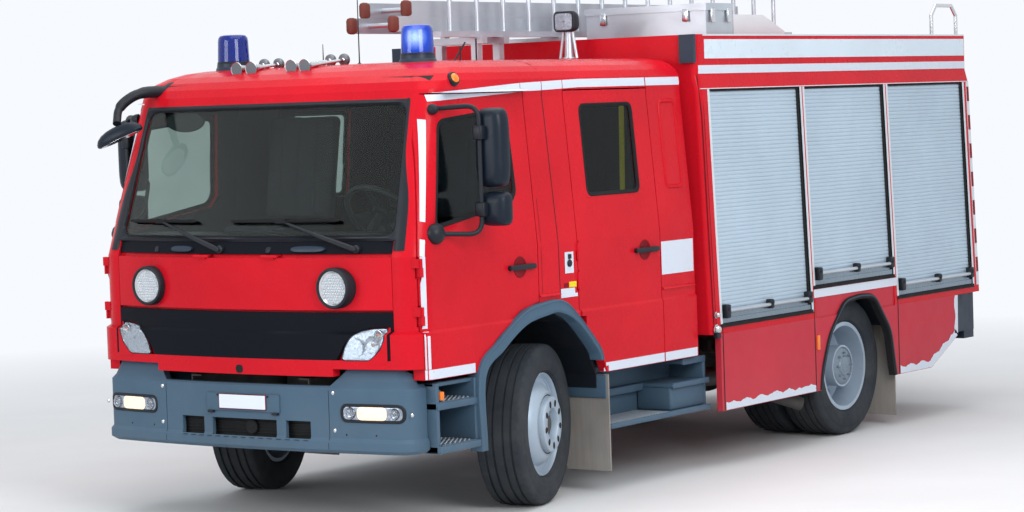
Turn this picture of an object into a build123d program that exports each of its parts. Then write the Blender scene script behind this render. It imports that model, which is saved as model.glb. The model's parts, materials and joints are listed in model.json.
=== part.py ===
from build123d import *
import math
import os

os.makedirs("parts", exist_ok=True)

# A crew-cab fire engine on two axles, in millimetres.
# Stations run rearward from the front axle, x runs to the vehicle's left, z up from the ground.

# Overall driving dimensions
WHEELBASE = 3560
FRONT_END = -1360
BODY_REAR = WHEELBASE + 1805
REAR_BAR = 35
REAR_END = BODY_REAR + REAR_BAR
BODY_HALF = 1240
BODY_TOP = 2690

# Wheels and axles
TYRE_RADIUS = 462.5
TYRE_WIDTH = 290
RIM_RADIUS = 285
RIM_WALL = 14
RIM_WIDTH = 240
FLANGE_RADIUS = 297
HALF_TRACK = 970
TWIN_OUTER_X = 995
TWIN_SPACING = 330
HUB_RADIUS = 140
STUB_RADIUS = 45
REAR_STUB_RADIUS = 60
KINGPIN_X = 840
KINGPIN_RADIUS = 24
BOSS_RADIUS = 42
REST_STEER = 16
SHAFT_CLEARANCE = 0.3
TIE_ROD_RADIUS = 18
ARM_REACH = 170

# Chassis
RAIL_HALF = 433
RAIL_TOP = 835
RAIL_DEPTH = 270
RAIL_FLANGE = 75
RAIL_SHEET = 10
RAIL_FRONT = -1230
RAIL_REAR = BODY_REAR - 65
CROSS_SIZE = 60

# Cab
CAB_REAR = 1610
CAB_WALL = 60
CAB_BOTTOM = 835
CREW_BOTTOM = 715
LIP_BOTTOM = 855
LIP_HALF = 640
CORNER_BOTTOM = 897
TUNNEL_HALF = 520
FLOOR_TOP = 1240
FLOOR_THICK = 40
FLOOR_EDGE = 1097
GLASS_INSET = 10
GLASS_THICK = 10
DOOR_GAP = 7
INNER_X = 1012
OUTER_X = 1300
DOOR_FRONT = -1130
DOOR_REAR = -60
DOOR_TOP = 2366
REAR_DOOR_FRONT = 345
REAR_DOOR_REAR = 1225
BELT_Z = 1500
FLOOR_SIDE_FRONT = -990
DASH_HALF = INNER_X - DOOR_GAP
HINGE_RADIUS = 10
EDGE_SHAVE = 14
HIP_TOP = 1102
NOTCH_LENGTH = 55
NOTCH_TOP = 1060
REAR_ARCH_GAP = 12
HINGE_HEIGHT = 50
HINGE_REACH = 45
FRONT_HINGE_X = 1157
REAR_HINGE_X = 1167

# Front panels
PANEL_HALF = 1000
PANEL_DEPTH = 25
FLAP_THICK = 18
FLAP_BOTTOM = 1215
FLAP_TOP = 1500
FLAP_GAP = 12
FLAP_AXIS_Z = 1509
BAND_BOTTOM = 945
COWL_TOP = 1600
LAMP_X = 680
LAMP_Z = 1338
LAMP_RADIUS = 112

# Body
BODY_FRONT = CAB_REAR + 80
CORNER_RADIUS = 40
BODY_FLOOR = 50
DIVIDERS = (BODY_FRONT + 81, WHEELBASE - 609, WHEELBASE + 540, BODY_REAR - 65)
DIVIDER_THICK = 60
BAY_TOP = 2350
ARCH_BAY_BOTTOM = 1037
ARCH_BAY_FLOOR = 50
SKIRT_BOTTOM = 355
SKIRT_THICK = 40
DECK_Z = 2560
PARAPET = 70
SHUTTER_INSET = 15
SHUTTER_THICK = 20
UPPER_HALF = BODY_HALF - 73
BAY_TOP_HALF = BODY_HALF - 50
TOW_PIN_X = 300
TOW_PIN_S = BODY_REAR + REAR_BAR / 2 - 0.5
TOW_PIN_RADIUS = 12

MID_STATION = (FRONT_END + REAR_END) / 2

NODES = {}


def keep(name, *solids):
    """Record a node as one or more solids, moved to the middle of the overall length."""
    pieces = []
    for solid in solids:
        pieces.extend(solid.solids())
    NODES[name] = Compound(children=[piece.moved(Location((0, -MID_STATION, 0))) for piece in pieces])


def box(x0, x1, s0, s1, z0, z1):
    """A box from its lowest and highest x, station and z."""
    return Pos((x0 + x1) / 2, (s0 + s1) / 2, (z0 + z1) / 2) * Box(x1 - x0, s1 - s0, z1 - z0)


def both(solid):
    """A solid and its mirror image on the other side of the vehicle."""
    return [solid, mirror(solid, Plane.YZ)]


def side_face(outline):
    """A flat face in the station and z plane, from its corner points."""
    return make_face(Plane.YZ * Polyline(*outline, close=True))


def side_prism(outline, x0, x1):
    """A side outline extruded from x0 to x1."""
    return extrude(Pos(x0, 0, 0) * side_face(outline), amount=x1 - x0, dir=(1, 0, 0))


def front_prism(outline, s0, s1):
    """A front outline in x and z, extruded rearward from station s0 to s1."""
    face = make_face(Polyline(*[(x, s0, z) for x, z in outline], close=True))
    return extrude(face, amount=s1 - s0, dir=(0, 1, 0))


def rod(start, end, radius):
    """A round bar between two points."""
    path = Line(start, end)
    return sweep(Plane(origin=start, z_dir=path % 0) * Circle(radius), path=path)


def across(x0, x1, station, z, radius):
    """A cylinder along x."""
    return rod((x0, station, z), (x1, station, z), radius)


def upright(x, station, z0, z1, radius):
    """A cylinder along z."""
    return rod((x, station, z0), (x, station, z1), radius)


def tube(points, radius):
    """A round tube through points, with a ball at each bend."""
    bar = rod(points[0], points[1], radius)
    for start, end in zip(points[1:], points[2:]):
        bar += Pos(*start) * Sphere(radius * 1.04)
        bar += rod(start, end, radius)
    return bar


# Cab form

# Rows of height, side half width, corner half width, nose station, corner station,
# station where the side begins, and how far an inset lowers the row as a share of it.
CAB_ROWS = (
    (700, 1175, 1030, -1310, -1222, -1060, 0),
    (1085, 1175, 1030, -1312, -1222, -1060, 0),
    (1100, 1165, 1003, -1313, -1188, -1060, 0),
    (BELT_Z, 1165, 1003, -1313, -1188, -1060, 0),
    (2340, 1094, 963, -978, -927, -800, 0.3),
    (2395, 1097, 952, -962, -908, -785, 0.5),
    (2440, 1092, 935, -930, -878, -760, 0.7),
    (2480, 1070, 905, -880, -828, -715, 1),
    (2512, 1030, 855, -810, -762, -650, 1),
    (2537, 970, 790, -725, -680, -570, 1),
    (2550, 890, 710, -630, -590, -480, 1),
    (2556, 780, 600, -520, -480, -370, 1),
)


def cab_form(inset=0):
    """The cab's outside, or the same form inset by a wall thickness."""
    sections = []
    rear = CAB_REAR - inset
    bulge = math.sqrt(0.5)
    for height, side, corner, nose, corner_s, side_s, lower in CAB_ROWS:
        z = height - lower * inset
        side_x = side - inset
        corner_x = corner - 0.7 * inset
        corner_y = corner_s + 0.9 * inset
        side_y = side_s + 0.3 * inset
        mid_x = corner_x + (side_x - corner_x) * bulge
        mid_y = side_y + (corner_y - side_y) * bulge
        sections.append(Face(Wire([
            Line((side_x, rear, z), (-side_x, rear, z)).edge(),
            Line((-side_x, rear, z), (-side_x, side_y, z)).edge(),
            ThreePointArc((-side_x, side_y, z), (-mid_x, mid_y, z), (-corner_x, corner_y, z)).edge(),
            ThreePointArc((-corner_x, corner_y, z), (0, nose + inset, z), (corner_x, corner_y, z)).edge(),
            ThreePointArc((corner_x, corner_y, z), (mid_x, mid_y, z), (side_x, side_y, z)).edge(),
            Line((side_x, side_y, z), (side_x, rear, z)).edge(),
        ])))
    return loft(sections, ruled=True)


CAB_OUTER = cab_form()
CAB_WALLS = CAB_OUTER - cab_form(CAB_WALL)
CAB_PANEL = CAB_OUTER - cab_form(PANEL_DEPTH)
CAB_FLAP = CAB_OUTER - cab_form(FLAP_THICK)
CAB_GLASS = cab_form(GLASS_INSET) - cab_form(GLASS_INSET + GLASS_THICK)
CAB_COWL = cab_form(12) - cab_form(CAB_WALL)

# The front wheel arch, as the outer edge of its flare and the edge of its opening
FLARE_OUTER = ((-684, 400), (-684, 836), (-484, 998), (-237, 1134), (-60, 1170), (137, 1176),
               (279, 1092), (505, 881), (585, 717), (585, 400))
FLARE_INNER = ((-622, 300), (-618, 800), (-440, 935), (-220, 1055), (0, 1096), (130, 1100),
               (290, 1030), (480, 860), (572, 700), (572, 300))

FRONT_DOOR = ((DOOR_FRONT, CAB_BOTTOM), (DOOR_FRONT, BELT_Z), (-925, DOOR_TOP), (DOOR_REAR, DOOR_TOP),
              (DOOR_REAR, CAB_BOTTOM))
REAR_DOOR = ((REAR_DOOR_FRONT, CREW_BOTTOM), (REAR_DOOR_FRONT, DOOR_TOP), (REAR_DOOR_REAR, DOOR_TOP),
             (REAR_DOOR_REAR, CREW_BOTTOM))
FRONT_WINDOW = ((-1000, 1628), (-862, 2290), (-222, 2290), (-205, 1800), (-262, 1738))
REAR_WINDOW = ((485, 1742), (485, 2295), (1063, 2295), (1063, 1742))


def grown(outline, distance):
    """A side outline's face, grown or shrunk by a distance."""
    return offset(side_face(outline), distance, kind=Kind.INTERSECTION)


def face_prism(face, x0, x1):
    return extrude(Pos(x0, 0, 0) * face, amount=x1 - x0, dir=(1, 0, 0))


SHELL_ARCH_CUT = side_prism(FLARE_OUTER, INNER_X - 300, OUTER_X)


# Door hinges: each is a lug on the cab above a lug on the door, on one upright axis
# Rows of axis x, axis station and the height of each hinge's lower end.
HINGES = {
    "f": (FRONT_HINGE_X, DOOR_FRONT - DOOR_GAP / 2, (1130, 1390)),
    "r": (REAR_HINGE_X, REAR_DOOR_FRONT - DOOR_GAP / 2, (1220, 1390)),
}


def hinge_lug(hinge, z0, z1, toward):
    """A round lug on the hinge axis, with a short plate toward the door (1) or the pillar (-1)."""
    x, station, _ = hinge
    barrel = upright(x, station, z0, z1, HINGE_RADIUS)
    plate_end = station + toward * 24
    plate = box(x - HINGE_REACH, x - 1, min(station, plate_end), max(station, plate_end), z0, z1)
    return barrel + plate


def hinge_relief(hinge, z0, z1):
    """The room that a lug of the other side needs round the hinge axis."""
    x, station, _ = hinge
    return (upright(x, station, z0, z1, HINGE_RADIUS + DOOR_GAP)
            + box(x - HINGE_REACH - DOOR_GAP, x, station - HINGE_RADIUS, station + HINGE_RADIUS, z0, z1))


def door_leaf(outline, window, hinge, arch_gap):
    """A left door: a panel as thick as the cab wall, its window cut and its hinge lugs on."""
    leaf = CAB_WALLS & (face_prism(side_face(outline), INNER_X, OUTER_X)
                        - face_prism(grown(FLARE_OUTER, arch_gap), INNER_X, OUTER_X))
    front = outline[0][0]
    leaf -= box(hinge[0] - 1, OUTER_X, front, front + EDGE_SHAVE, 0, HIP_TOP)
    if front > 0:
        leaf -= box(INNER_X, OUTER_X, front, front + NOTCH_LENGTH, 0, NOTCH_TOP)
    leaf -= side_prism(window, INNER_X, OUTER_X)
    for low in hinge[2]:
        middle = low + HINGE_HEIGHT
        leaf -= hinge_relief(hinge, middle - DOOR_GAP, middle + HINGE_HEIGHT + DOOR_GAP)
        leaf += hinge_lug(hinge, low, middle - SHAFT_CLEARANCE, 1)
    return leaf


def door_handle(start, z):
    """A pull handle standing off the door on two feet."""
    grip = box(1172, 1190, start, start + 243, z - 13, z + 13)
    feet = box(1155, 1172, start, start + 40, z - 13, z + 13)
    feet += box(1155, 1172, start + 203, start + 243, z - 13, z + 13)
    return grip + feet


def cab_shell():
    """The cab's walls, floor and roof, with doorways, windows and front recesses cut out."""
    shell = CAB_WALLS
    floor = cab_form(CAB_WALL / 2) & box(-OUTER_X, OUTER_X, -OUTER_X * 2, CAB_REAR,
                                          FLOOR_TOP - FLOOR_THICK, FLOOR_TOP)
    shell += floor
    shell -= box(-OUTER_X, OUTER_X, FRONT_END, DOOR_REAR, 0, LIP_BOTTOM)
    for side in both(box(LIP_HALF, OUTER_X, FRONT_END, DOOR_REAR, 0, CORNER_BOTTOM)):
        shell -= side
    shell -= box(-OUTER_X, OUTER_X, DOOR_REAR, CAB_REAR, 0, CREW_BOTTOM)
    shell -= box(-TUNNEL_HALF, TUNNEL_HALF, DOOR_REAR, CAB_REAR + 1, 0, RAIL_TOP + DOOR_GAP)
    cuts = [SHELL_ARCH_CUT]
    for outline in (FRONT_DOOR, REAR_DOOR):
        cuts.append(face_prism(grown(outline, DOOR_GAP), INNER_X, OUTER_X)
                    - box(INNER_X, FLOOR_EDGE, FLOOR_SIDE_FRONT, CAB_REAR, FLOOR_TOP - FLOOR_THICK, FLOOR_TOP))
    for cut in cuts:
        for side in both(cut):
            shell -= side
    for hinge in HINGES.values():
        for low in hinge[2]:
            middle = low + HINGE_HEIGHT
            relief = hinge_relief(hinge, low - DOOR_GAP, middle)
            lug = hinge_lug(hinge, middle, middle + HINGE_HEIGHT, -1)
            for cut, solid in zip(both(relief), both(lug)):
                shell -= cut
                shell += solid
    pocket = box(-PANEL_HALF - 3, PANEL_HALF + 3, FRONT_END, -1100, BAND_BOTTOM, FLAP_AXIS_Z + 11)
    shell -= CAB_PANEL & pocket
    shell -= CAB_WALLS & box(-PANEL_HALF - 3, PANEL_HALF + 3, FRONT_END, -1100, FLAP_AXIS_Z + 11, COWL_TOP)
    shell -= side_cut_windscreen()
    for x in (-250, 250):
        for end in (-1, 1):
            start = x + end * 30 + end * SHAFT_CLEARANCE
            stop = x + end * 55
            shell += flap_barrel(min(start, stop), max(start, stop), 8)
    return shell


WINDSCREEN = ((-1010, 1600), (-955, 2335), (955, 2335), (1010, 1600))


def side_cut_windscreen():
    return front_prism(WINDSCREEN, -1500, -700)


def windscreen():
    return CAB_GLASS & front_prism(WINDSCREEN, -1500, -700)


FLAP_AXIS_S = -1316


def flap_barrel(x0, x1, direction):
    """A hinge barrel on the flap's axis; its tab runs back over (8) or down into (-8) the panel."""
    barrel = across(x0, x1, FLAP_AXIS_S, FLAP_AXIS_Z, 8)
    if direction > 0:
        return barrel + box(x0, x1, FLAP_AXIS_S, FLAP_AXIS_S + 50, FLAP_AXIS_Z + 2, FLAP_AXIS_Z + 8)
    return barrel + box(x0, x1, FLAP_AXIS_S, FLAP_AXIS_S + 16, FLAP_TOP - 6, FLAP_AXIS_Z)


def front_flap():
    """The red service flap below the windscreen, hung from two barrels at its top edge."""
    flap = CAB_FLAP & box(-PANEL_HALF, PANEL_HALF, FRONT_END - 100, -1100, FLAP_BOTTOM, FLAP_TOP)
    for x in (-250, 250):
        flap += flap_barrel(x - 30, x + 30, -8)
    return flap


HEADLAMP = ((655, 930), (725, 1040), (800, 1100), (870, 1122), (974, 1125), (974, 1060), (935, 985),
            (870, 930))


def headlamp_prism():
    return front_prism(HEADLAMP, -1500, -1000)


def front_panel():
    """The black band with the headlamps let in, and the black cowl under the windscreen."""
    band = CAB_PANEL & box(-PANEL_HALF, PANEL_HALF, FRONT_END, -1100, BAND_BOTTOM, FLAP_BOTTOM - FLAP_GAP)
    for side in both(headlamp_prism()):
        band -= side
    cowl = CAB_COWL & box(-PANEL_HALF - 3, PANEL_HALF + 3, FRONT_END, -1100, FLAP_AXIS_Z + 11, COWL_TOP)
    return [band, cowl]


# Cab

keep("cab_shell", cab_shell())
keep("windscreen", windscreen())
band, cowl = front_panel()
keep("front_panel", band, cowl)
keep("front_flap", front_flap())

lamp = rod((LAMP_X, -1345, LAMP_Z), (LAMP_X, -1250, LAMP_Z), LAMP_RADIUS) - CAB_OUTER
keep("flap_lamps", *both(lamp & box(0, OUTER_X, -1400, -1240, 0, 2000)))

lens = CAB_PANEL & headlamp_prism() & box(0, OUTER_X, FRONT_END, -1000, BAND_BOTTOM, BELT_Z)
rear_lamp = box(880, 1130, BODY_REAR, BODY_REAR + 30, 560, 700)
keep("lamps", *both(lens), *both(rear_lamp))

DOOR_LEAVES = {
    "f": (FRONT_DOOR, FRONT_WINDOW, DOOR_GAP, -349, 1385),
    "r": (REAR_DOOR, REAR_WINDOW, REAR_ARCH_GAP, 940, 1403),
}
for place, (outline, window, arch_gap, handle_start, handle_z) in DOOR_LEAVES.items():
    leaf = door_leaf(outline, window, HINGES[place], arch_gap) + door_handle(handle_start, handle_z)
    pane = CAB_GLASS & side_prism(window, INNER_X, OUTER_X)
    for side, index in (("l", 0), ("r", 1)):
        keep("door_" + place + side, both(leaf)[index])
        keep("glass_" + place + side, both(pane)[index])

# Cab interior
dash = box(-DASH_HALF, DASH_HALF, -1180, -860, 1300, 1620)
keep("dashboard", (cab_form(CAB_WALL + 8) & dash) + box(-1000, 1000, -1130, -1000, FLOOR_TOP, 1300))
WHEEL_CENTRE = (560, -700, 1700)
COLUMN_FOOT = (560, -960, 1480)
steer_plane = Plane(origin=WHEEL_CENTRE, z_dir=Vector(WHEEL_CENTRE) - Vector(COLUMN_FOOT))
keep("steering_wheel", (steer_plane * Torus(215, 16) + steer_plane * Cylinder(60, 30)
     + steer_plane * Box(420, 34, 14) + rod(COLUMN_FOOT, WHEEL_CENTRE, 30)) - dash)


def seat(x0, x1, s0, cushion_z):
    """A seat on its pedestal: base, cushion and a raked back."""
    base = box(x0 + 40, x1 - 40, s0 + 40, s0 + 420, FLOOR_TOP, cushion_z - 120)
    cushion = box(x0, x1, s0, s0 + 480, cushion_z - 120, cushion_z)
    back = side_prism(((s0 + 400, cushion_z), (s0 + 480, cushion_z), (s0 + 590, cushion_z + 640),
                       (s0 + 490, cushion_z + 640)), x0, x1)
    return base + cushion + back


keep("seats", seat(290, 830, -520, 1640), seat(-830, -290, -520, 1640), seat(-1000, 1000, 900, 1640))


def front_station(x, z):
    """The station of the cab's front between the belt and the roof edge."""
    rise = (z - BELT_Z) / 840
    nose = -1313 + 335 * rise
    corner = -1188 + 261 * rise
    return nose + (corner - nose) * (x / PANEL_HALF) ** 2


# Rows of a wiper's pivot x and the x of its blade's two ends
WIPERS = ((-128, -927, -349), (788, -92, 661))
PIVOT_Z = 1545
BLADE_Z = 1700
wipers = []
for pivot_x, blade_x0, blade_x1 in WIPERS:
    seat_s = front_station(pivot_x, PIVOT_Z) + 14
    blade = [(x, front_station(x, BLADE_Z) - 10, BLADE_Z) for x in (blade_x0, (blade_x0 + blade_x1) / 2, blade_x1)]
    wiper = rod((pivot_x, seat_s, PIVOT_Z), (pivot_x, seat_s - 42, PIVOT_Z), 18)
    wiper += rod((pivot_x, seat_s - 32, PIVOT_Z), blade[1], 9) + tube(blade, 8)
    wipers.append(wiper - CAB_OUTER + (wiper & CAB_OUTER & box(-OUTER_X, OUTER_X, -1400, -1100, 1500, 1590)) - cowl)
keep("wipers", *wipers)


def mirror_set():
    """Two mirror heads on a tube frame, carried by the front door."""
    upper = (1090, -900, 2330)
    lower = (1150, -985, 1590)
    outer_top = (1385, -750, 2330)
    outer_low = (1385, -750, 1600)
    frame = tube((upper, outer_top, outer_low, lower), 14)
    main_head = box(1290, 1480, -730, -640, 1845, 2285)
    wide_head = box(1285, 1475, -730, -650, 1645, 1830)
    clamps = box(1370, 1400, -760, -720, 2120, 2180) + box(1370, 1400, -760, -720, 1700, 1750)
    return frame + main_head + wide_head + clamps - CAB_OUTER


for side, index in (("left", 0), ("right", 1)):
    keep("mirror_" + side, both(mirror_set())[index])

kerb_arm = tube(((-900, -820, 2440), (-960, -1010, 2440), (-1010, -1130, 2360), (-960, -1200, 2262)), 28)
kerb_head = Pos(-950, -1200, 2205) * Rot(0, 0, 20) * Box(290, 60, 140)
keep("kerb_mirror", kerb_arm + kerb_head - CAB_OUTER)

# Roof of the cab
ROOF_Z = 2556
BEACON_S = -507
BEACON_RADIUS = 97
BEACON_TOP = 2762
beacons = []
for side in (-1, 1):
    x = side * 700
    dome = Pos(x, BEACON_S, 2525) * Cylinder(125, 60, align=(Align.CENTER, Align.CENTER, Align.MIN))
    lens = Pos(x, BEACON_S, 2585) * Cylinder(BEACON_RADIUS, BEACON_TOP - 2585,
                                             align=(Align.CENTER, Align.CENTER, Align.MIN))
    dome += fillet(lens.edges().sort_by(Axis.Z)[-1], 28)
    beacons.append(dome - CAB_OUTER)
keep("beacons", *beacons)

horns = []
for x in (-485, -400, -164, -70):
    bell = Cone(40, 14, 160, align=(Align.CENTER, Align.CENTER, Align.MIN))
    horns.append(Pos(x, -660, 2640) * Rot(-90, 0, 0) * bell + rod((x, -505, 2640), (x, -360, 2640), 14)
                 + upright(x, -420, ROOF_Z, 2640, 12))
keep("air_horns", *horns)

work_lamp = box(240, 405, 1500, 1590, 2732, 2872) + upright(330, 1545, ROOF_Z, 2732, 25)
keep("work_lamp", work_lamp)

antennas = [upright(520, 300, ROOF_Z, 2690, 5), upright(700, -100, ROOF_Z, 2640, 5)]
keep("antennas", *antennas)


# Bumper and steps

BUMPER_REAR = DOOR_FRONT - 16


def bumper_form(inset, z0, z1):
    """The bumper's plan: a bowed front that turns back round both ends."""
    end_x = 1190 - inset
    turn_x = 1030 - 0.6 * inset
    turn_s = -1268 + inset
    side_s = BUMPER_REAR - 12
    face = FRONT_END + inset
    plan = Wire([
        Line((end_x, BUMPER_REAR, z0), (-end_x, BUMPER_REAR, z0)).edge(),
        Line((-end_x, BUMPER_REAR, z0), (-end_x, side_s, z0)).edge(),
        ThreePointArc((-end_x, side_s, z0), (-(end_x - 36), turn_s + 48, z0), (-turn_x, turn_s, z0)).edge(),
        ThreePointArc((-turn_x, turn_s, z0), (0, face, z0), (turn_x, turn_s, z0)).edge(),
        ThreePointArc((turn_x, turn_s, z0), (end_x - 36, turn_s + 48, z0), (end_x, side_s, z0)).edge(),
        Line((end_x, side_s, z0), (end_x, BUMPER_REAR, z0)).edge(),
    ])
    return extrude(Face(plan), amount=z1 - z0, dir=(0, 0, 1))


BUMPER_PROFILE = ((-1200, 435), (-1200, 812), (-1105, 890), (-690, 890), (-600, 822), (600, 822), (690, 890),
                  (1105, 890), (1200, 812), (1200, 435), (560, 435), (520, 492), (-520, 492), (-560, 435))


def bumper():
    """The bumper shell, with its fog lamp pockets, plate recess and lower grille slots."""
    skin = bumper_form(0, 400, 900) - bumper_form(60, 390, 910)
    skin &= front_prism(BUMPER_PROFILE, -1400, -1100)
    for x0, x1, z0, z1 in ((-265, 265, 632, 760),):
        skin -= box(x0, x1, -1400, FRONT_END + 12, z0, z1)
    for side in (-1, 1):
        for x0, x1 in ((20, 215), (265, 385), (405, 520)):
            skin -= box(min(side * x0, side * x1), max(side * x0, side * x1), -1400, -1200, 520, 600)
        skin -= box(min(side * 640, side * 1060), max(side * 640, side * 1060), -1400,
                    -1262, 610, 712)
    bracket = box(-433, 433, FRONT_END + 58, RAIL_FRONT, 620, 800)
    return skin + bracket


keep("bumper", bumper())

fog_lamps = []
for solid in both(bumper_form(8, 614, 708) & box(645, 1055, -1400, -1262, 614, 708)):
    fog_lamps.append(solid)
keep("fog_lamps", *fog_lamps)


def front_step_box():
    """The entry steps below the front door: side plates, two treads and a back wall."""
    back = box(860, 890, -1130, -684, 430, 812)
    treads = box(890, 1180, -1130, -684, 665, 705) + box(890, 1190, -1130, -684, 430, 470)
    ends = box(860, 1170, -1130, -1105, 430, 812) + box(860, 1170, -709, -684, 430, 812)
    top = box(860, 1150, -1130, -684, 790, 812)
    hanger = box(433, 860, -960, -900, 640, 760)
    return back + treads + ends + top + hanger


def crew_step_box():
    """The steps below the crew door, from the front mud flap to the body."""
    tread = box(870, 1160, 640, 1765, 375, 400)
    upper = box(870, 1150, 640, 1765, 540, 565)
    back = box(850, 875, 640, 1765, 375, 702)
    rail = box(1085, 1125, 640, 1765, 670, 702)
    ends = box(850, 1125, 640, 665, 375, 702) + box(850, 1125, 1740, 1765, 375, 702)
    hangers = box(433, 850, 760, 820, 640, 700) + box(433, 850, 1560, 1620, 640, 700)
    return tread + upper + back + rail + ends + hangers


keep("steps", *both(front_step_box()), *both(crew_step_box()))

flare = side_prism(FLARE_OUTER, 1110, 1195) - side_prism(FLARE_INNER, 1000, 1250)
liner = (face_prism(grown(FLARE_INNER, 14), 640, 1110) - side_prism(FLARE_INNER, 600, 1250))
liner &= box(0, OUTER_X, -700, 700, 620, FLOOR_TOP)
rear_guard = across(530, BODY_HALF - SKIRT_THICK, WHEELBASE, TYRE_RADIUS, 514)
rear_guard -= across(500, BODY_HALF, WHEELBASE, TYRE_RADIUS, 500)
rear_guard &= box(0, OUTER_X, WHEELBASE - 600, WHEELBASE + 600, 700, 1200)
keep("arch_flares", *both(flare))
keep("wheel_arches", *both(liner), *both(rear_guard))

front_flap_sheet = box(875, 1185, 586, 598, 130, 700)
rear_flap_sheet = box(530, BODY_HALF - SKIRT_THICK, DIVIDERS[2] + 12, DIVIDERS[2] + 24, 70, 700)
keep("mud_flaps", *both(front_flap_sheet), *both(rear_flap_sheet))

# Chassis

def rail():
    """One channel-section side rail."""
    web = box(RAIL_HALF - RAIL_SHEET, RAIL_HALF, RAIL_FRONT, RAIL_REAR, RAIL_TOP - RAIL_DEPTH, RAIL_TOP)
    flange = box(RAIL_HALF - RAIL_FLANGE, RAIL_HALF, RAIL_FRONT, RAIL_REAR, RAIL_TOP - RAIL_SHEET, RAIL_TOP)
    return web + flange + flange.moved(Location((0, 0, RAIL_SHEET - RAIL_DEPTH)))


AXLE_BEAM_TOP = 470
REAR_AXLE_RADIUS = 75
# Rows of a cross member's station and top
CROSS_MEMBERS = ((-1180, 640), (-330, 640), (560, 640), (1500, 825), (2500, 825),
                 (WHEELBASE + 800, 825), (RAIL_REAR - 50, 825))
SPRING_X = 440
SPRING_WIDTH = 60
SPRINGS = ((0, AXLE_BEAM_TOP, 700, 575), (WHEELBASE, TYRE_RADIUS + REAR_AXLE_RADIUS + 0.3, 720, 625))
ENGINE_BOTTOM = 640


def chassis_frame():
    frame = rail() + mirror(rail(), Plane.YZ)
    inner = RAIL_HALF - RAIL_SHEET / 2
    for station, top in CROSS_MEMBERS:
        frame += box(-inner, inner, station - CROSS_SIZE / 2, station + CROSS_SIZE / 2, top - CROSS_SIZE, top)
    for centre, _, reach, eye_z in SPRINGS:
        for station in (centre - reach, centre + reach):
            for solid in both(box(RAIL_HALF - 5, SPRING_X + SPRING_WIDTH, station - 25, station + 25, eye_z,
                                  eye_z + 60)):
                frame += solid
    for station in (-950, 1350):
        for solid in both(box(370, 425, station - 40, station + 40, RAIL_TOP - 5, FLOOR_TOP - FLOOR_THICK)):
            frame += solid
    return frame


keep("chassis_frame", chassis_frame())
keep("engine_block", box(-330, 330, -520, 700, ENGINE_BOTTOM, FLOOR_TOP - FLOOR_THICK - 40))


def leaf_spring(station, seat_z, half_length, eye_z):
    """A bowed leaf pack, from eye to eye under a rail."""
    top = ThreePointArc((station - half_length, eye_z), (station, seat_z + 50), (station + half_length, eye_z))
    low = ThreePointArc((station + half_length, eye_z - 16), (station, seat_z), (station - half_length,
                                                                                  eye_z - 16))
    outline = Wire([top.edge(), Line(top @ 1, low @ 0).edge(), low.edge(), Line(low @ 1, top @ 0).edge()])
    face = Plane.YZ.offset(SPRING_X) * Face(outline)
    return extrude(face, amount=SPRING_WIDTH, dir=(1, 0, 0))


keep("leaf_springs", *[solid for row in SPRINGS for solid in both(leaf_spring(*row))])


def front_axle():
    """A dropped beam with a bored boss at each end for the kingpin."""
    beam = box(-KINGPIN_X + 60, KINGPIN_X - 60, -45, 45, AXLE_BEAM_TOP - 90, AXLE_BEAM_TOP)
    for side in (-1, 1):
        x = side * KINGPIN_X
        beam += upright(x, 0, 400, 545, BOSS_RADIUS)
        beam += box(min(x, x - side * 110), max(x, x - side * 110), -36, 36, 400, AXLE_BEAM_TOP)
        beam -= upright(x, 0, 390, 560, KINGPIN_RADIUS + SHAFT_CLEARANCE)
    return beam


keep("front_axle", front_axle())


def rear_axle():
    """The driven axle: a tube with stub ends, its final drive and the shaft from the engine."""
    axle = across(-500, 500, WHEELBASE, TYRE_RADIUS, REAR_AXLE_RADIUS)
    axle += across(-1090, 1090, WHEELBASE, TYRE_RADIUS, REAR_STUB_RADIUS)
    axle += Pos(0, WHEELBASE, TYRE_RADIUS) * Sphere(210)
    axle += rod((0, 704, 700), (0, WHEELBASE - 200, TYRE_RADIUS + 30), 50)
    return axle


keep("rear_axle", rear_axle())

EXHAUST_BEND = WHEELBASE - 1010
exhaust = rod((300, 900, 500), (700, EXHAUST_BEND, 480), 60)
exhaust += rod((700, EXHAUST_BEND, 480), (1080, EXHAUST_BEND + 470, 260), 45)
keep("exhaust", exhaust + upright(395, 1300, 480, RAIL_TOP - RAIL_DEPTH, 20))


# Steering

def turned(solid, side):
    """A solid drawn for straight-ahead wheels, turned with its kingpin to the rest angle."""
    return Pos(side * KINGPIN_X, 0, 0) * Rot(0, 0, REST_STEER) * Pos(-side * KINGPIN_X, 0, 0) * solid


ARM_Z = 350


def arm_tip(side):
    """Where the track rod's pin stands, straight ahead, for a side."""
    return side * KINGPIN_X, ARM_REACH


def knuckle(side):
    """A steering knuckle: a fork round the axle boss, the wheel's stub and the steering arm."""
    x = side * KINGPIN_X
    outer = x + side * 52
    fork = box(min(x - side * 10, outer), max(x - side * 10, outer), -34, 34, 545 + SHAFT_CLEARANCE, 580)
    fork += box(min(x - side * 10, outer), max(x - side * 10, outer), -34, 34, 366, 400 - SHAFT_CLEARANCE)
    fork += box(min(outer - side * 2, outer + side * 22), max(outer - side * 2, outer + side * 22),
                -60, 60, 366, 580)
    fork += upright(x, 0, 366, 580, KINGPIN_RADIUS)
    fork += across(min(outer, side * 1120), max(outer, side * 1120), 0, TYRE_RADIUS, STUB_RADIUS)
    tip_x, tip_s = arm_tip(side)
    fork += box(min(x, tip_x) - 14, max(x, tip_x) + 14, -20, 40, ARM_Z, 370)
    fork += box(tip_x - 16, tip_x + 16, 0, tip_s + 16, ARM_Z, 370)
    fork += upright(tip_x, tip_s, 300, 370, 10)
    return fork


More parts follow.
